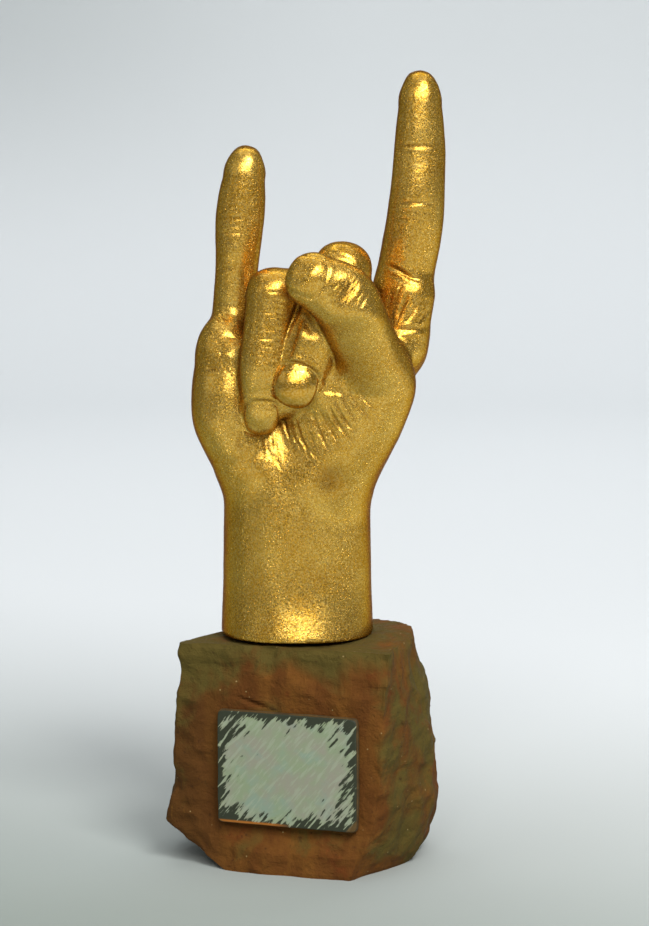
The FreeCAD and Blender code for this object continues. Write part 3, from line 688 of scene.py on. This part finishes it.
def makeHand():
    limbs = handLimbs()
    names = [limb["name"] for limb in limbs]
    step = handSettings["step"]
    low = np.array([*handSettings["boxLow"], wristHeight - 1.5 * step])
    counts = np.ceil((np.array(handSettings["boxHigh"]) - low) / step).astype(int) + 1
    points, quads = surfaceNet(gridField(limbs, low, counts, step), low, step)
    points = settle(limbs, points, 1)
    print("hand surface:", len(points), "points")

    # finer faces where the palm side has folds and nails
    _, normal, _ = fieldSlope(limbs, points)
    seen = facing(points, normal)
    x, y, z = points.T
    bottom, top = handSettings["palmHeights"]
    detailed = (seen > 0.0) & (z > bottom) & (z < top) & (y < handSettings["palmFront"])
    littleTip, indexTip = handSettings["tipHeights"]
    tips = (z > littleTip) & (y > 0) & ((z > indexTip) | (x < 0))
    flagged = (detailed | tips)[quads].all(1)
    points, quads, others = refined(points, quads, flagged)
    points = settle(limbs, points, 2)
    print("refined to", len(points), "points")

    _, owners = handField(limbs, points, owner=True)
    _, normal, _ = fieldSlope(limbs, points)
    seen = smoothStep(0.02, 0.25, facing(points, normal))
    places = picturePlace(points)
    shift = np.zeros(len(points))
    # line is a mask of painted shade in folds and grooves, nail marks where the nails are glossy
    shades = {"line": np.zeros(len(points)), "nail": np.zeros(len(points))}
    for limbNames, width, depth, line in strokes:
        line = softened(line) if len(line) > 2 else line
        margin = 4 * width / handSettings["pixel"]
        near = np.all((places > line.min(0) - margin) & (places < line.max(0) + margin), 1) & (seen > 0)
        near &= np.isin(owners, [names.index(name) for name in limbNames])
        near = np.nonzero(near)[0]
        distance, share = nearStroke(places[near], line)
        distance = distance * handSettings["pixel"]
        fade = smoothStep(0, 0.38, share) * smoothStep(1, 0.45, share) * seen[near]
        banks = 0.3 if width < 2 else 0.0
        profile = bell(distance, width) - banks * bell(distance - 2.0 * width, 0.9 * width)
        shift[near] -= depth * profile * fade
        # painted shade along the fold, darker where it is deeper
        shade = np.clip(depth / 0.6, 0, 1) * bell(distance, width) * fade
        shades["line"][near] = np.maximum(shades["line"][near], shade)
    for limb in limbs:
        if limb["name"] in handSettings["nails"]:
            addNail(limb, points, shift, shades)
    for name, grooves, depth, reach in handSettings["knuckles"]:
        knuckleLines(limbs[names.index(name)], points, grooves, depth, reach, shift, shades)
    for name, height in handSettings["tendons"].items():
        addTendon(limbs[names.index(name + "Metacarpal")], points, *handSettings["tendonReach"], height, shift)
    # soft unevenness of the skin, and how deep a place lies between its neighbours, the mask of the painted shade
    # in the hollows
    upper = smoothStep(95, 125, points[:, 2])
    shift += 0.16 * upper * valueNoise(points, 9.0, 11, 2) + 0.05 * valueNoise(points, 2.4, 21, 2)
    far, close = 4.0, 1.6
    hollow = 0.6 * (1 - handField(limbs, points + far * normal) / far)
    hollow += 0.7 * (1 - handField(limbs, points + close * normal) / close)
    free = points[:, 2] > wristHeight + 0.6
    points = np.where(free[:, None], points + shift[:, None] * normal, points)
    shades["hollow"] = np.clip(hollow, 0, 1)
    return makeMesh("hand_skin", points, [quads] + others, shades)


# Materials. Colours are linear.
def colour(red, green, blue):
    # a colour as a screen shows it, 0 to 255, made linear
    def linear(value):
        value /= 255
        return value / 12.92 if value <= 0.04045 else ((value + 0.055) / 1.055) ** 2.4
    return (linear(red), linear(green), linear(blue), 1.0)


class Shader:
    # a material with the few node recipes that the finishes here share
    def __init__(self, name):
        self.material = bpy.data.materials.new(name)
        self.material.use_nodes = True
        self.tree = self.material.node_tree
        self.tree.nodes.clear()
        self.place = self.node("ShaderNodeTexCoord").outputs["Object"]

    def node(self, kind, inputs=None, **settings):
        made = self.tree.nodes.new(kind)
        for key, value in settings.items():
            setattr(made, key, value)
        for key, value in (inputs or {}).items():
            if isinstance(value, bpy.types.NodeSocket):
                self.tree.links.new(value, made.inputs[key])
            else:
                made.inputs[key].default_value = value
        return made

    def stretched(self, scale):
        return self.node("ShaderNodeMapping", {"Vector": self.place, "Scale": scale}).outputs[0]

    def noise(self, size, detail=3.0, roughness=0.55, vector=None, distortion=0.0):
        # size is the width of a blotch in millimetres
        return self.node("ShaderNodeTexNoise", {
            "Vector": vector or self.place, "Scale": 1000.0 / size, "Detail": detail, "Roughness": roughness,
            "Distortion": distortion}).outputs["Fac"]

    def cells(self, size, output="Distance"):
        return self.node("ShaderNodeTexVoronoi", {"Vector": self.place, "Scale": 1000.0 / size}).outputs[output]

    def attribute(self, name):
        return self.node("ShaderNodeAttribute", attribute_name=name).outputs["Fac"]

    def sum(self, kind, *values):
        return self.node("ShaderNodeMath", dict(enumerate(values)), operation=kind).outputs[0]

    def between(self, value, low, high, start=0.0, end=1.0):
        return self.node("ShaderNodeMapRange", {"Value": value, "From Min": low, "From Max": high, "To Min": start,
                                                "To Max": end}, interpolation_type="SMOOTHSTEP").outputs[0]

    def mix(self, share, first, second):
        return self.node("ShaderNodeMix", {0: share, 6: first, 7: second}, data_type="RGBA").outputs[2]

    def bump(self, height, distance, strength=1.0, normal=None):
        # distance in millimetres
        inputs = {"Height": height, "Distance": distance * millimetre, "Strength": strength}
        if normal:
            inputs["Normal"] = normal
        return self.node("ShaderNodeBump", inputs).outputs[0]

    def finish(self, inputs):
        surface = self.node("ShaderNodeBsdfPrincipled", inputs)
        self.node("ShaderNodeOutputMaterial", {"Surface": surface.outputs[0]})
        return self.material


def goldPaint():
    # bronze powder paint: metal flakes of slightly different tilt and tone, pale specks that are partly painted
    # glints, and painted shade, redder and darker, in the folds
    gold = Shader("gold_paint")
    flakes = gold.cells(0.34, output="Color")
    flake = gold.node("ShaderNodeSeparateColor", {"Color": flakes}).outputs
    patches = gold.between(gold.noise(16.0, 3.0), 0.35, 0.7)
    # pale specks: partly paler flakes, partly painted glints
    speckleGlint = gold.between(gold.noise(0.7, 2.0, 0.7), 0.3, 0.7)
    tone = gold.mix(patches, colour(218, 165, 56), colour(232, 185, 78))
    tone = gold.mix(gold.between(flake[0], 0.2, 1.0, 0.0, 0.45), tone, colour(168, 116, 34))
    tone = gold.mix(gold.between(speckleGlint, 0.2, 1.0, 0.0, 0.35), tone, colour(255, 226, 140))
    # painted shade: redder and darker in the hollows and along the folds, knuckle grooves and nail folds
    wearAndShade = gold.sum("MAXIMUM", gold.between(gold.attribute("hollow"), 0.45, 1.0, 0.0, 0.75),
                    gold.sum("MULTIPLY", gold.attribute("line"), 0.5))
    tone = gold.mix(wearAndShade, tone, colour(112, 66, 16))
    rubbed = gold.sum("SUBTRACT", 1.0, gold.sum("MULTIPLY", gold.attribute("nail"), 0.9))
    grain = gold.bump(flake[1], 0.06, rubbed)
    fine = gold.bump(gold.noise(0.55, 2.0, 0.7), 0.055, 1.0, grain)
    skin = gold.bump(gold.noise(1.3, 3.0, 0.65), 0.11, 1.0, fine)
    rough = gold.between(flake[2], 0.0, 1.0, 0.21, 0.35)
    rough = gold.sum("SUBTRACT", rough, gold.sum("MULTIPLY", gold.attribute("nail"), 0.1))
    return gold.finish({"Base Color": tone, "Metallic": 0.93, "Roughness": rough, "Normal": skin,
                        "Specular Tint": colour(96, 56, 16)})


def rustStone():
    # weathered split rock: rust brown with olive grey blotches, redder veins, ochre streaks and dark pits, and
    # painted shade on its left side
    stone = Shader("rust_stone")
    spot = stone.node("ShaderNodeSeparateXYZ", {"Vector": stone.place}).outputs
    height = spot["Z"]
    broad = stone.noise(24.0, 4.0, 0.6, distortion=0.6)
    streaks = stone.noise(9.0, 4.0, 0.6, stone.stretched((1.0, 1.0, 0.28)))
    upper = stone.between(height, 0.060, 0.077)
    right = stone.between(spot["X"], 0.020, 0.034)
    right = stone.sum("MULTIPLY", right, stone.between(height, 0.022, 0.060, 0.25, 0.85))
    olive = stone.sum("ADD", broad, stone.sum("MULTIPLY", stone.sum("MAXIMUM", upper, right), 0.2))
    olive = stone.between(olive, 0.5, 0.72)
    tone = stone.mix(stone.between(streaks, 0.35, 0.68), colour(98, 58, 22), colour(116, 74, 28))
    # painted shade: the left side, turned away from the window lamp, is darker
    left = stone.between(spot["X"], -0.014, -0.040, 0.0, 0.75)
    tone = stone.mix(left, tone, colour(78, 50, 20))
    tone = stone.mix(olive, tone, colour(90, 77, 34))
    veins = stone.noise(14.0, 5.0, 0.65)
    ochre = stone.noise(5.5, 4.0, 0.7, stone.stretched((1.0, 1.0, 0.45)))
    pits = stone.noise(2.6, 3.0, 0.7)
    for pattern, low, top, share, paint in (
            (veins, 0.58, 0.72, 0.55, (108, 52, 20)), (ochre, 0.6, 0.78, 0.6, (140, 96, 38)),
            (pits, 0.6, 0.74, 0.55, (54, 32, 16)), (stone.cells(5.0), 0.07, 0.035, 0.75, (176, 150, 100))):
        tone = stone.mix(stone.between(pattern, low, top, 0.0, share), tone, colour(*paint))
    lumps = stone.bump(stone.noise(8.0, 4.0, 0.6, distortion=0.5), 1.6, 0.9)
    rough = stone.bump(stone.noise(3.0, 5.0, 0.65), 0.7, 0.9, lumps)
    grit = stone.bump(stone.noise(0.8, 3.0, 0.7), 0.16, 0.8, rough)
    return stone.finish({"Base Color": tone, "Roughness": 0.9, "Specular IOR Level": 0.16, "Normal": grit})


def plainFinish(name, first, second, size, metallic=0.0, roughness=0.6, relief=0.05):
    # two tones in blotches of the given size with a little relief, for the mortar, grout, steel and board
    finish = Shader(name)
    blotch = finish.noise(size, 4.0, 0.6)
    tone = finish.mix(finish.between(blotch, 0.35, 0.65), colour(*first), colour(*second))
    return finish.finish({"Base Color": tone, "Metallic": metallic, "Roughness": roughness,
                          "Normal": finish.bump(finish.noise(size / 4, 3.0), relief)})


def plaquePaint():
    # Pale clouded sheet with a dry-brushed dark border. The sheet's own attributes say where a place is, in
    # millimetres from its middle; strokes are noise stretched along the up-right diagonal.
    sheet = Shader("plaque_paint")
    across, up = sheet.attribute("across"), sheet.attribute("up")
    width, height = plaqueSettings["sheet"]
    flat = sheet.node("ShaderNodeCombineXYZ", {"X": across, "Y": up}).outputs[0]
    slanted = sheet.node("ShaderNodeMapping", {"Vector": flat, "Rotation": (0, 0, math.radians(50)),
                                               "Scale": (6.5, 1.0, 1.0)}, vector_type="TEXTURE").outputs[0]

    def pattern(vector, scale, detail, roughness=0.5):
        return sheet.node("ShaderNodeTexNoise", {"Vector": vector, "Scale": scale, "Detail": detail,
                                                 "Roughness": roughness}).outputs

    stroke = pattern(slanted, 0.8, 3.0, 0.6)["Fac"]
    wander = pattern(flat, 0.14, 2.0)["Fac"]
    sideEdge = sheet.sum("SUBTRACT", width / 2, sheet.sum("ABSOLUTE", across))
    topEdge = sheet.sum("SUBTRACT", height / 2, sheet.sum("ABSOLUTE", up))
    edge = sheet.sum("MINIMUM", sideEdge, topEdge)
    product = sheet.sum("MULTIPLY", sideEdge, topEdge)
    rounded = sheet.sum("DIVIDE", product, sheet.sum("ADD", sheet.sum("ADD", sideEdge, topEdge), 0.01))
    reach = sheet.between(wander, 0.34, 0.66, 2.5, 6.2)
    inside = sheet.sum("DIVIDE", rounded, reach)
    dark = sheet.between(sheet.sum("ADD", sheet.sum("MULTIPLY", inside, 0.3), sheet.sum("MULTIPLY", stroke, 1.0)),
                         0.63, 0.68, 1.0, 0.0)
    dark = sheet.sum("MULTIPLY", dark, sheet.between(inside, 1.05, 1.5, 1.0, 0.0))
    tint = sheet.node("ShaderNodeSeparateColor", {"Color": pattern(flat, 0.09, 3.0, 0.6)["Color"]}).outputs
    tone = sheet.mix(sheet.between(tint[0], 0.35, 0.65), colour(143, 158, 126), colour(152, 151, 134))
    tone = sheet.mix(sheet.between(tint[1], 0.5, 0.68, 0.0, 0.7), tone, colour(136, 160, 145))
    rubbed = pattern(flat, 1.6, 4.0, 0.7)["Fac"]
    tone = sheet.mix(sheet.between(rubbed, 0.58, 0.75, 0.0, 0.35), tone, colour(122, 128, 104))
    tone = sheet.mix(sheet.between(edge, 3.4, 0.0, 0.0, 0.45), tone, colour(160, 164, 103))
    tone = sheet.mix(sheet.between(stroke, 0.5, 0.62, 0.0, 0.5), tone, colour(166, 176, 153))
    tone = sheet.mix(dark, tone, colour(46, 51, 34))
    low = sheet.between(up, 1.3 - height / 2, 0.7 - height / 2)
    orange = sheet.sum("MULTIPLY", low, sheet.between(across, 3.0, -6.0))
    tone = sheet.mix(orange, tone, colour(170, 102, 24))
    corner = sheet.sum("SUBTRACT", across, up)
    wearAndShade = sheet.between(sheet.sum("ADD", corner, sheet.sum("MULTIPLY", stroke, 3.0)), 40.6, 41.6, 0.0, 0.9)
    tone = sheet.mix(wearAndShade, tone, colour(98, 72, 30))
    flecks = sheet.between(rubbed, 0.72, 0.8, 0.0, 0.7)
    tone = sheet.mix(flecks, tone, colour(58, 62, 44))
    return sheet.finish({"Base Color": tone, "Roughness": 0.5,
                         "Normal": sheet.bump(sheet.sum("ADD", stroke, dark), 0.05, 0.7)})


# The stone: nine corners of the split block at six heights, as the shares of its reach on each side of the rod
stoneSettings = {
    "turn": 19.2,
    "height": 76.5,
    "left": 42.5,
    "right": 48.6,
    "front": 28.1,
    "back": 48.6,
    "columns": 400,
    "rows": 104,
    "topRings": 34,
    # the flat seat of the plaque fades in from the first to the second place, beside, under and over its middle
    "seat": {"beside": (34, 27), "under": (13, 18), "over": (62, 56)},
    "crack": {"across": -6, "height": 57.0, "slope": 0.28, "width": 0.8, "reach": 4.5, "depth": 1.5},
    "rows of corners": [
        (0.0, [(-0.35, -1.11), (-0.05, -1.16), (0.62, -1.12), (0.84, -0.04), (0.8, 0.37), (0.35, 0.88),
               (-0.52, 0.78), (-0.82, 0.25), (-0.64, -0.5)]),
        (0.1, [(-0.66, -0.97), (-0.07, -1.15), (0.68, -1.12), (0.93, 0.01), (0.87, 0.41), (0.37, 0.97),
               (-0.56, 0.82), (-0.92, 0.29), (-0.87, -0.36)]),
        (0.19, [(-0.85, -1.0), (-0.07, -1.0), (0.74, -1.0), (0.97, 0.02), (0.905, 0.45), (0.37, 1.0),
                (-0.59, 0.84), (-0.965, 0.29), (-1.0, -0.36)]),
        (0.31, [(-0.81, -1.0), (-0.06, -1.0), (0.79, -1.0), (1.0, 0.04), (0.905, 0.47), (0.37, 0.99),
                (-0.59, 0.82), (-0.965, 0.27), (-0.94, -0.39)]),
        (0.76, [(-0.78, -1.0), (-0.02, -1.0), (0.84, -1.0), (0.935, 0.01), (0.82, 0.45), (0.33, 0.93),
                (-0.59, 0.76), (-0.87, 0.23), (-0.87, -0.43)]),
        (1.0, [(-0.75, -0.94), (0.01, -0.93), (0.85, -0.91), (0.85, -0.05), (0.68, 0.47), (0.275, 0.88),
               (-0.565, 0.45), (-0.66, 0.03), (-0.74, -0.53)]),
    ],
}
stoneTurn = math.radians(stoneSettings["turn"])
alongFront = np.array([math.cos(stoneTurn), -math.sin(stoneTurn), 0.0])
inward = np.array([math.sin(stoneTurn), math.cos(stoneTurn), 0.0])


def ringMean(rows, reach):
    # running mean round a closed ring, along the second axis
    total = sum(np.roll(rows, shift, 1) for shift in range(-reach, reach + 1))
    return total / (2 * reach + 1)


def makeStone():
    # A ring of points at every height: the corners of the table, mixed between its rows, then pushed out or in by
    # noise of several sizes, with chips along the upright edges and the rim. The top and underside close by rings
    # that shrink to the middle.
    size = stoneSettings
    table = size["rows of corners"]
    heights = np.array([row[0] for row in table])
    corners = np.array([row[1] for row in table])
    corners[..., 0] *= np.where(corners[..., 0] > 0, size["right"], size["left"])
    corners[..., 1] *= np.where(corners[..., 1] > 0, size["back"], size["front"])
    closed = np.concatenate([corners, corners[:, :1]], 1)
    lengths = np.linalg.norm(np.diff(closed[3], axis=0), axis=1)
    stops = np.concatenate([[0], np.cumsum(lengths)])
    around = np.linspace(0, stops[-1], size["columns"], endpoint=False)
    levels = np.linspace(0, 1, size["rows"])
    rings = np.stack([np.stack([np.interp(around, stops, closed[row, :, axis]) for axis in (0, 1)], -1)
                      for row in range(len(table))])
    mixed = np.stack([[np.interp(levels, heights, rings[:, column, axis]) for column in range(size["columns"])]
                      for axis in (0, 1)], -1).transpose(1, 0, 2)
    mixed = ringMean(mixed, 1)
    edge = np.min([np.abs((around - stop + stops[-1] / 2) % stops[-1] - stops[-1] / 2) for stop in stops[:-1]], 0)
    ahead = np.roll(mixed, -2, 1) - np.roll(mixed, 2, 1)
    outward = np.stack([ahead[..., 1], -ahead[..., 0]], -1)
    outward /= np.linalg.norm(outward, axis=2)[..., None]
    outward *= np.sign(np.sum(outward * mixed))
    level = levels[:, None] * size["height"] * np.ones(size["columns"])
    places = np.concatenate([mixed, level[..., None]], -1).reshape(-1, 3)
    # lumps and sharp ridges, finer grain, then ledges that lie flat
    push = 0.6 * valueNoise(places, 24.0, 31, 2) + 1.2 * (0.5 - 2 * np.abs(valueNoise(places, 11.0, 41, 2)))
    push += 0.28 * valueNoise(places, 4.5, 51, 2) + 0.12 * valueNoise(places, 1.8, 61, 1)
    ledge = places * [1, 1, 2.2]
    push += 0.42 * np.tanh(6 * valueNoise(ledge, 15.0, 71, 2))
    push = push.reshape(mixed.shape[:2])
    chips = np.maximum(valueNoise(places, 9.0, 81, 2).reshape(push.shape) - 0.05, 0)
    push -= 4.0 * chips * bell(edge, 2.4)[None]
    # the front stays flat where the plaque is glued on
    seat = size["seat"]
    aside = np.abs(mixed[..., 0] - plaqueSettings["shift"])
    flat = (mixed[..., 1] < -0.9 * size["front"]) & (aside < seat["beside"][1])
    beside = smoothStep(*seat["beside"], aside) * (mixed[..., 1] < -0.8 * size["front"])
    near = beside * smoothStep(*seat["under"], level) * smoothStep(*seat["over"], level)
    push = push * (1 - 0.94 * near) - 0.25 * near
    push *= np.where(flat & (near < 0.5), 0.8, 1.0)
    # a short crack above the plaque
    crack = size["crack"]
    front = mixed[..., 1] < -0.85 * size["front"]
    across = mixed[..., 0] - crack["across"]
    below = bell(level - crack["height"] + crack["slope"] * across, crack["width"])
    push -= crack["depth"] * front * below * bell(across, crack["reach"])
    # the rim is worn
    rim = smoothStep(size["height"] - 2.4, size["height"], level)
    push -= 0.5 * rim ** 2 * (1 + 2.4 * valueNoise(places * [1, 1, 0], 6.0, 91, 2).reshape(push.shape))
    mixed = mixed + outward * push[..., None]
    foot = 0.5 * smoothStep(2.0, 0.0, level) ** 2
    mixed = mixed * (1 - foot[..., None] * 0.02)
    body = np.concatenate([mixed, level[..., None]], -1)
    shares = 1 - (np.arange(1, size["topRings"] + 1) / size["topRings"]) ** 1.15
    top = np.concatenate([mixed[-1][None] * shares[:, None, None],
                          np.full((len(shares), size["columns"], 1), size["height"])], -1)
    bottom = np.concatenate([mixed[0][None] * shares[::-1][:, None, None],
                             np.zeros((len(shares), size["columns"], 1))], -1)
    grid = np.concatenate([bottom, body, top])
    # the top is broken too, and falls away toward the left and the back left
    places = grid.reshape(-1, 3)
    x, y, z = places.T
    drop = 1.76 * smoothStep(-20, -46, x) + 0.9 * smoothStep(10, 44, y - 0.5 * x)
    rough = 0.45 + 0.55 * valueNoise(places, 12.0, 101, 3) + 0.2 * valueNoise(places, 3.0, 111, 2)
    lift = 2.6 * smoothStep(14, 40, x) * smoothStep(-30, 12, y)
    z = z + smoothStep(size["height"] - 6, size["height"], z) * (lift - drop - np.maximum(rough, 0.0))
    turned = x[:, None] * alongFront + y[:, None] * inward + z[:, None] * [0, 0, 1]
    return makeMesh("stone_block", turned, [gridFaces(len(grid), size["columns"], closed=True)], smooth=False)


plaqueSettings = {
    "shift": 7.4,
    "middle": 35.6,
    "board": (50.0, 39.0),
    "boardThickness": 2.0,
    "sheet": (49.3, 38.3),
    "sheetThickness": 0.6,
    "glue": 0.8,
}


def makeSlab(name, size, thickness, start, power, wander, edge, seed):
    # A plate as rings round a rounded rectangle: up its back, round its thin edge and in over its front. The
    # outline is |x / a| ** power + |y / b| ** power = 1 in even steps, and noise wears it.
    columns = 360
    angle = np.linspace(0, 2 * math.pi, columns, endpoint=False)
    loop = np.stack([np.cos(angle), np.sin(angle)], 1)
    loop = np.sign(loop) * np.abs(loop) ** (2 / power) * size / 2
    loop = np.concatenate([loop, loop[:1]])
    stops = np.concatenate([[0], np.cumsum(np.linalg.norm(np.diff(loop, axis=0), axis=1))])
    along = np.linspace(0, stops[-1], columns, endpoint=False)
    outline = np.stack([np.interp(along, stops, loop[:, axis]) for axis in (0, 1)], 1)
    wearAndShade = valueNoise(np.concatenate([outline, np.full((columns, 1), 3.0 * seed)], 1), 5.0, seed, 3)
    outline *= 1 - (wander * (1 + wearAndShade) / np.mean(size))[:, None]
    steps = [(share, 0.0) for share in (0.0, 0.5, 0.9, 0.985)] + [(1.0, edge), (1.0, thickness - edge)]
    steps += [(share, thickness) for share in (0.988, 0.96, 0.9, 0.8, 0.6, 0.3, 0.0)]
    rings = np.array([outline * share for share, _ in steps])
    across, up = rings[..., 0].ravel(), rings[..., 1].ravel()
    front = stoneSettings["front"] + start + np.repeat([depth for _, depth in steps], columns)
    places = (plaqueSettings["shift"] + across)[:, None] * alongFront - front[:, None] * inward
    places[:, 2] += plaqueSettings["middle"] + up
    return makeMesh(name, places, [gridFaces(len(steps), columns, closed=True)], {"across": across, "up": up},
                    smooth=False)


# Pieces, each with its finish, its body and the solid that it stands for
def dress(piece, material, slot, *nodes):
    piece.data.materials.clear()
    piece.data.materials.append(material)
    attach(piece, "root")
    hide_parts(*nodes)


hand = makeHand()
dress(hand, goldPaint(), "gold_painted_ceramic", "hand_shell")
print("hand made:", len(hand.data.polygons), "faces")
stone = makeStone()
dress(stone, rustStone(), "rust_brown_stone", "stone_base")
print("stone made:", len(stone.data.polygons), "faces")
board = makeSlab("plaque_back", plaqueSettings["board"], plaqueSettings["boardThickness"], plaqueSettings["glue"],
                 power=30, wander=0.5, edge=0.3, seed=3)
dress(board, plainFinish("board_brown", (66, 50, 22), (92, 68, 28), 4.0, roughness=0.7, relief=0.1),
      "plaque_board", "plaque_board")
face = makeSlab("plaque_face", plaqueSettings["sheet"], plaqueSettings["sheetThickness"],
                plaqueSettings["glue"] + plaqueSettings["boardThickness"], power=26, wander=0.35, edge=0.15,
                seed=5)
dress(face, plaquePaint(), "plaque_sheet", "plaque_sheet")
print("plaque made")

hiddenFinishes = {
    "wrist_plug": plainFinish("plaster_white", (206, 200, 188), (222, 217, 206), 6.0, roughness=0.9, relief=0.15),
    "mounting_rod": plainFinish("rod_steel", (150, 150, 152), (176, 176, 178), 2.0, metallic=1.0, roughness=0.35),
    "anchor_nut": plainFinish("nut_steel", (158, 158, 156), (184, 184, 182), 2.0, metallic=1.0, roughness=0.3),
    "anchor_washer": plainFinish("washer_steel", (160, 160, 158), (186, 186, 184), 2.0, metallic=1.0,
                                 roughness=0.32),
    "rod_grout": plainFinish("grout_grey", (120, 114, 104), (142, 136, 124), 3.0, roughness=0.95, relief=0.2),
    "seat_bed": plainFinish("mortar_brown", (88, 58, 26), (112, 76, 34), 2.5, roughness=0.95, relief=0.25),
    "plaque_glue": plainFinish("glue_amber", (120, 84, 30), (150, 106, 40), 3.0, roughness=0.4),
}
for name, material in hiddenFinishes.items():
    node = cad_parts[name]
    node.data.materials.clear()
    node.data.materials.append(material)
print("inner parts finished")


# Studio: a pale floor that rises to a wall all round, far enough off for a camera on any side
def makeRoom():
    # profile: flat to the start of the bend, a quarter circle, then straight up, carried round the rod's axis
    reach, bend, height = 2600.0, 900.0, 2200.0
    columns = 160
    turn = np.linspace(0, math.pi / 2, 24)
    flat = np.concatenate([np.linspace(0, 300, 12), np.linspace(340, reach - bend, 30)])
    radius = np.concatenate([flat, reach - bend + bend * np.sin(turn[1:]), [reach]])
    level = np.concatenate([np.zeros(len(flat)), bend * (1 - np.cos(turn[1:])), [height]])
    angle = np.linspace(0, 2 * math.pi, columns, endpoint=False)
    points = np.stack([radius[:, None] * np.cos(angle), radius[:, None] * np.sin(angle),
                       level[:, None] * np.ones(columns)], -1).reshape(-1, 3)
    return makeMesh("studio_floor", points, [gridFaces(len(radius), columns, closed=True)])


def paperFinish():
    # pale paper with painted shade, a little darker toward the front, the left and the top of the wall, and a
    # painted bright band on the floor in front
    paper = Shader("studio_paper")
    spot = paper.node("ShaderNodeSeparateXYZ", {"Vector": paper.place}).outputs
    # painted shade: darker toward the front and the left
    side = paper.sum("ADD", spot["Y"], paper.sum("MULTIPLY", spot["X"], 0.6))
    tone = paper.mix(paper.between(side, -0.35, 0.5), colour(134, 146, 138), colour(242, 246, 249))
    # painted light: a brighter band of floor in front, which the gold reflects
    tone = paper.mix(paper.between(spot["Y"], -0.12, -0.32), tone, colour(203, 207, 205))
    # painted shade at the far sides and far in front, so the gold reflects a darker room there
    tone = paper.mix(paper.between(paper.sum("ABSOLUTE", spot["X"]), 0.75, 1.5), tone, colour(164, 166, 166))
    tone = paper.mix(paper.between(spot["Y"], -0.8, -1.5), tone, colour(164, 166, 166))
    # painted shade toward the top of the wall, more on its left
    high = paper.between(spot["Z"], 0.06, 0.46)
    tone = paper.mix(paper.sum("MULTIPLY", high, 0.3), tone, colour(188, 194, 193))
    tone = paper.mix(paper.sum("MULTIPLY", high, paper.between(spot["X"], 0.1, -0.5, 0.0, 0.35)), tone,
                     colour(150, 158, 156))
    return paper.finish({"Base Color": tone, "Roughness": 0.9, "Specular IOR Level": 0.2})


floor = makeRoom()
floor.data.materials.append(paperFinish())


def addLamp(name, place, aim, size, power, tint):
    data = bpy.data.lights.new(name, "AREA")
    data.shape = "RECTANGLE"
    data.size, data.size_y = size
    data.energy = power
    data.color = tint
    lamp = bpy.data.objects.new(name, data)
    bpy.context.scene.collection.objects.link(lamp)
    lamp.location = place
    direction = np.array(aim) - np.array(place)
    lamp.visible_camera = False
    lamp.rotation_euler = Vector(direction).to_track_quat("-Z", "Y").to_euler()


lamps = [
    # name, place, aim and size in metres, power in watts and tint
    ("window", (0.55, -1.1, 1.35), (0, 0, 0.13), (0.6, 0.5), 18.5, (1.0, 0.985, 0.96)),
    ("fill", (-1.2, -0.9, 0.9), (0, 0, 0.13), (0.8, 0.8), 1.2, (0.95, 0.98, 1.0)),
    ("table", (0.08, -1.05, 0.74), (0, 0, 0.1), (0.8, 0.3), 6.2, (1.0, 0.99, 0.95)),
    ("backdrop", (0.3, 0.9, 1.9), (0, 2.4, 0.4), (2.0, 0.6), 20.0, (1.0, 1.0, 1.0)),
    ("ceiling", (0.0, 0.3, 1.9), (0, 0.1, 0), (1.8, 1.8), 7.0, (1.0, 1.0, 1.0)),
]
for row in lamps:
    addLamp(*row)


def makeWorld():
    world = bpy.data.worlds.new("studio")
    bpy.context.scene.world = world
    world.use_nodes = True
    background = world.node_tree.nodes["Background"]
    background.inputs["Color"].default_value = colour(236, 240, 244)
    background.inputs["Strength"].default_value = 0.2


makeWorld()
print("studio made")
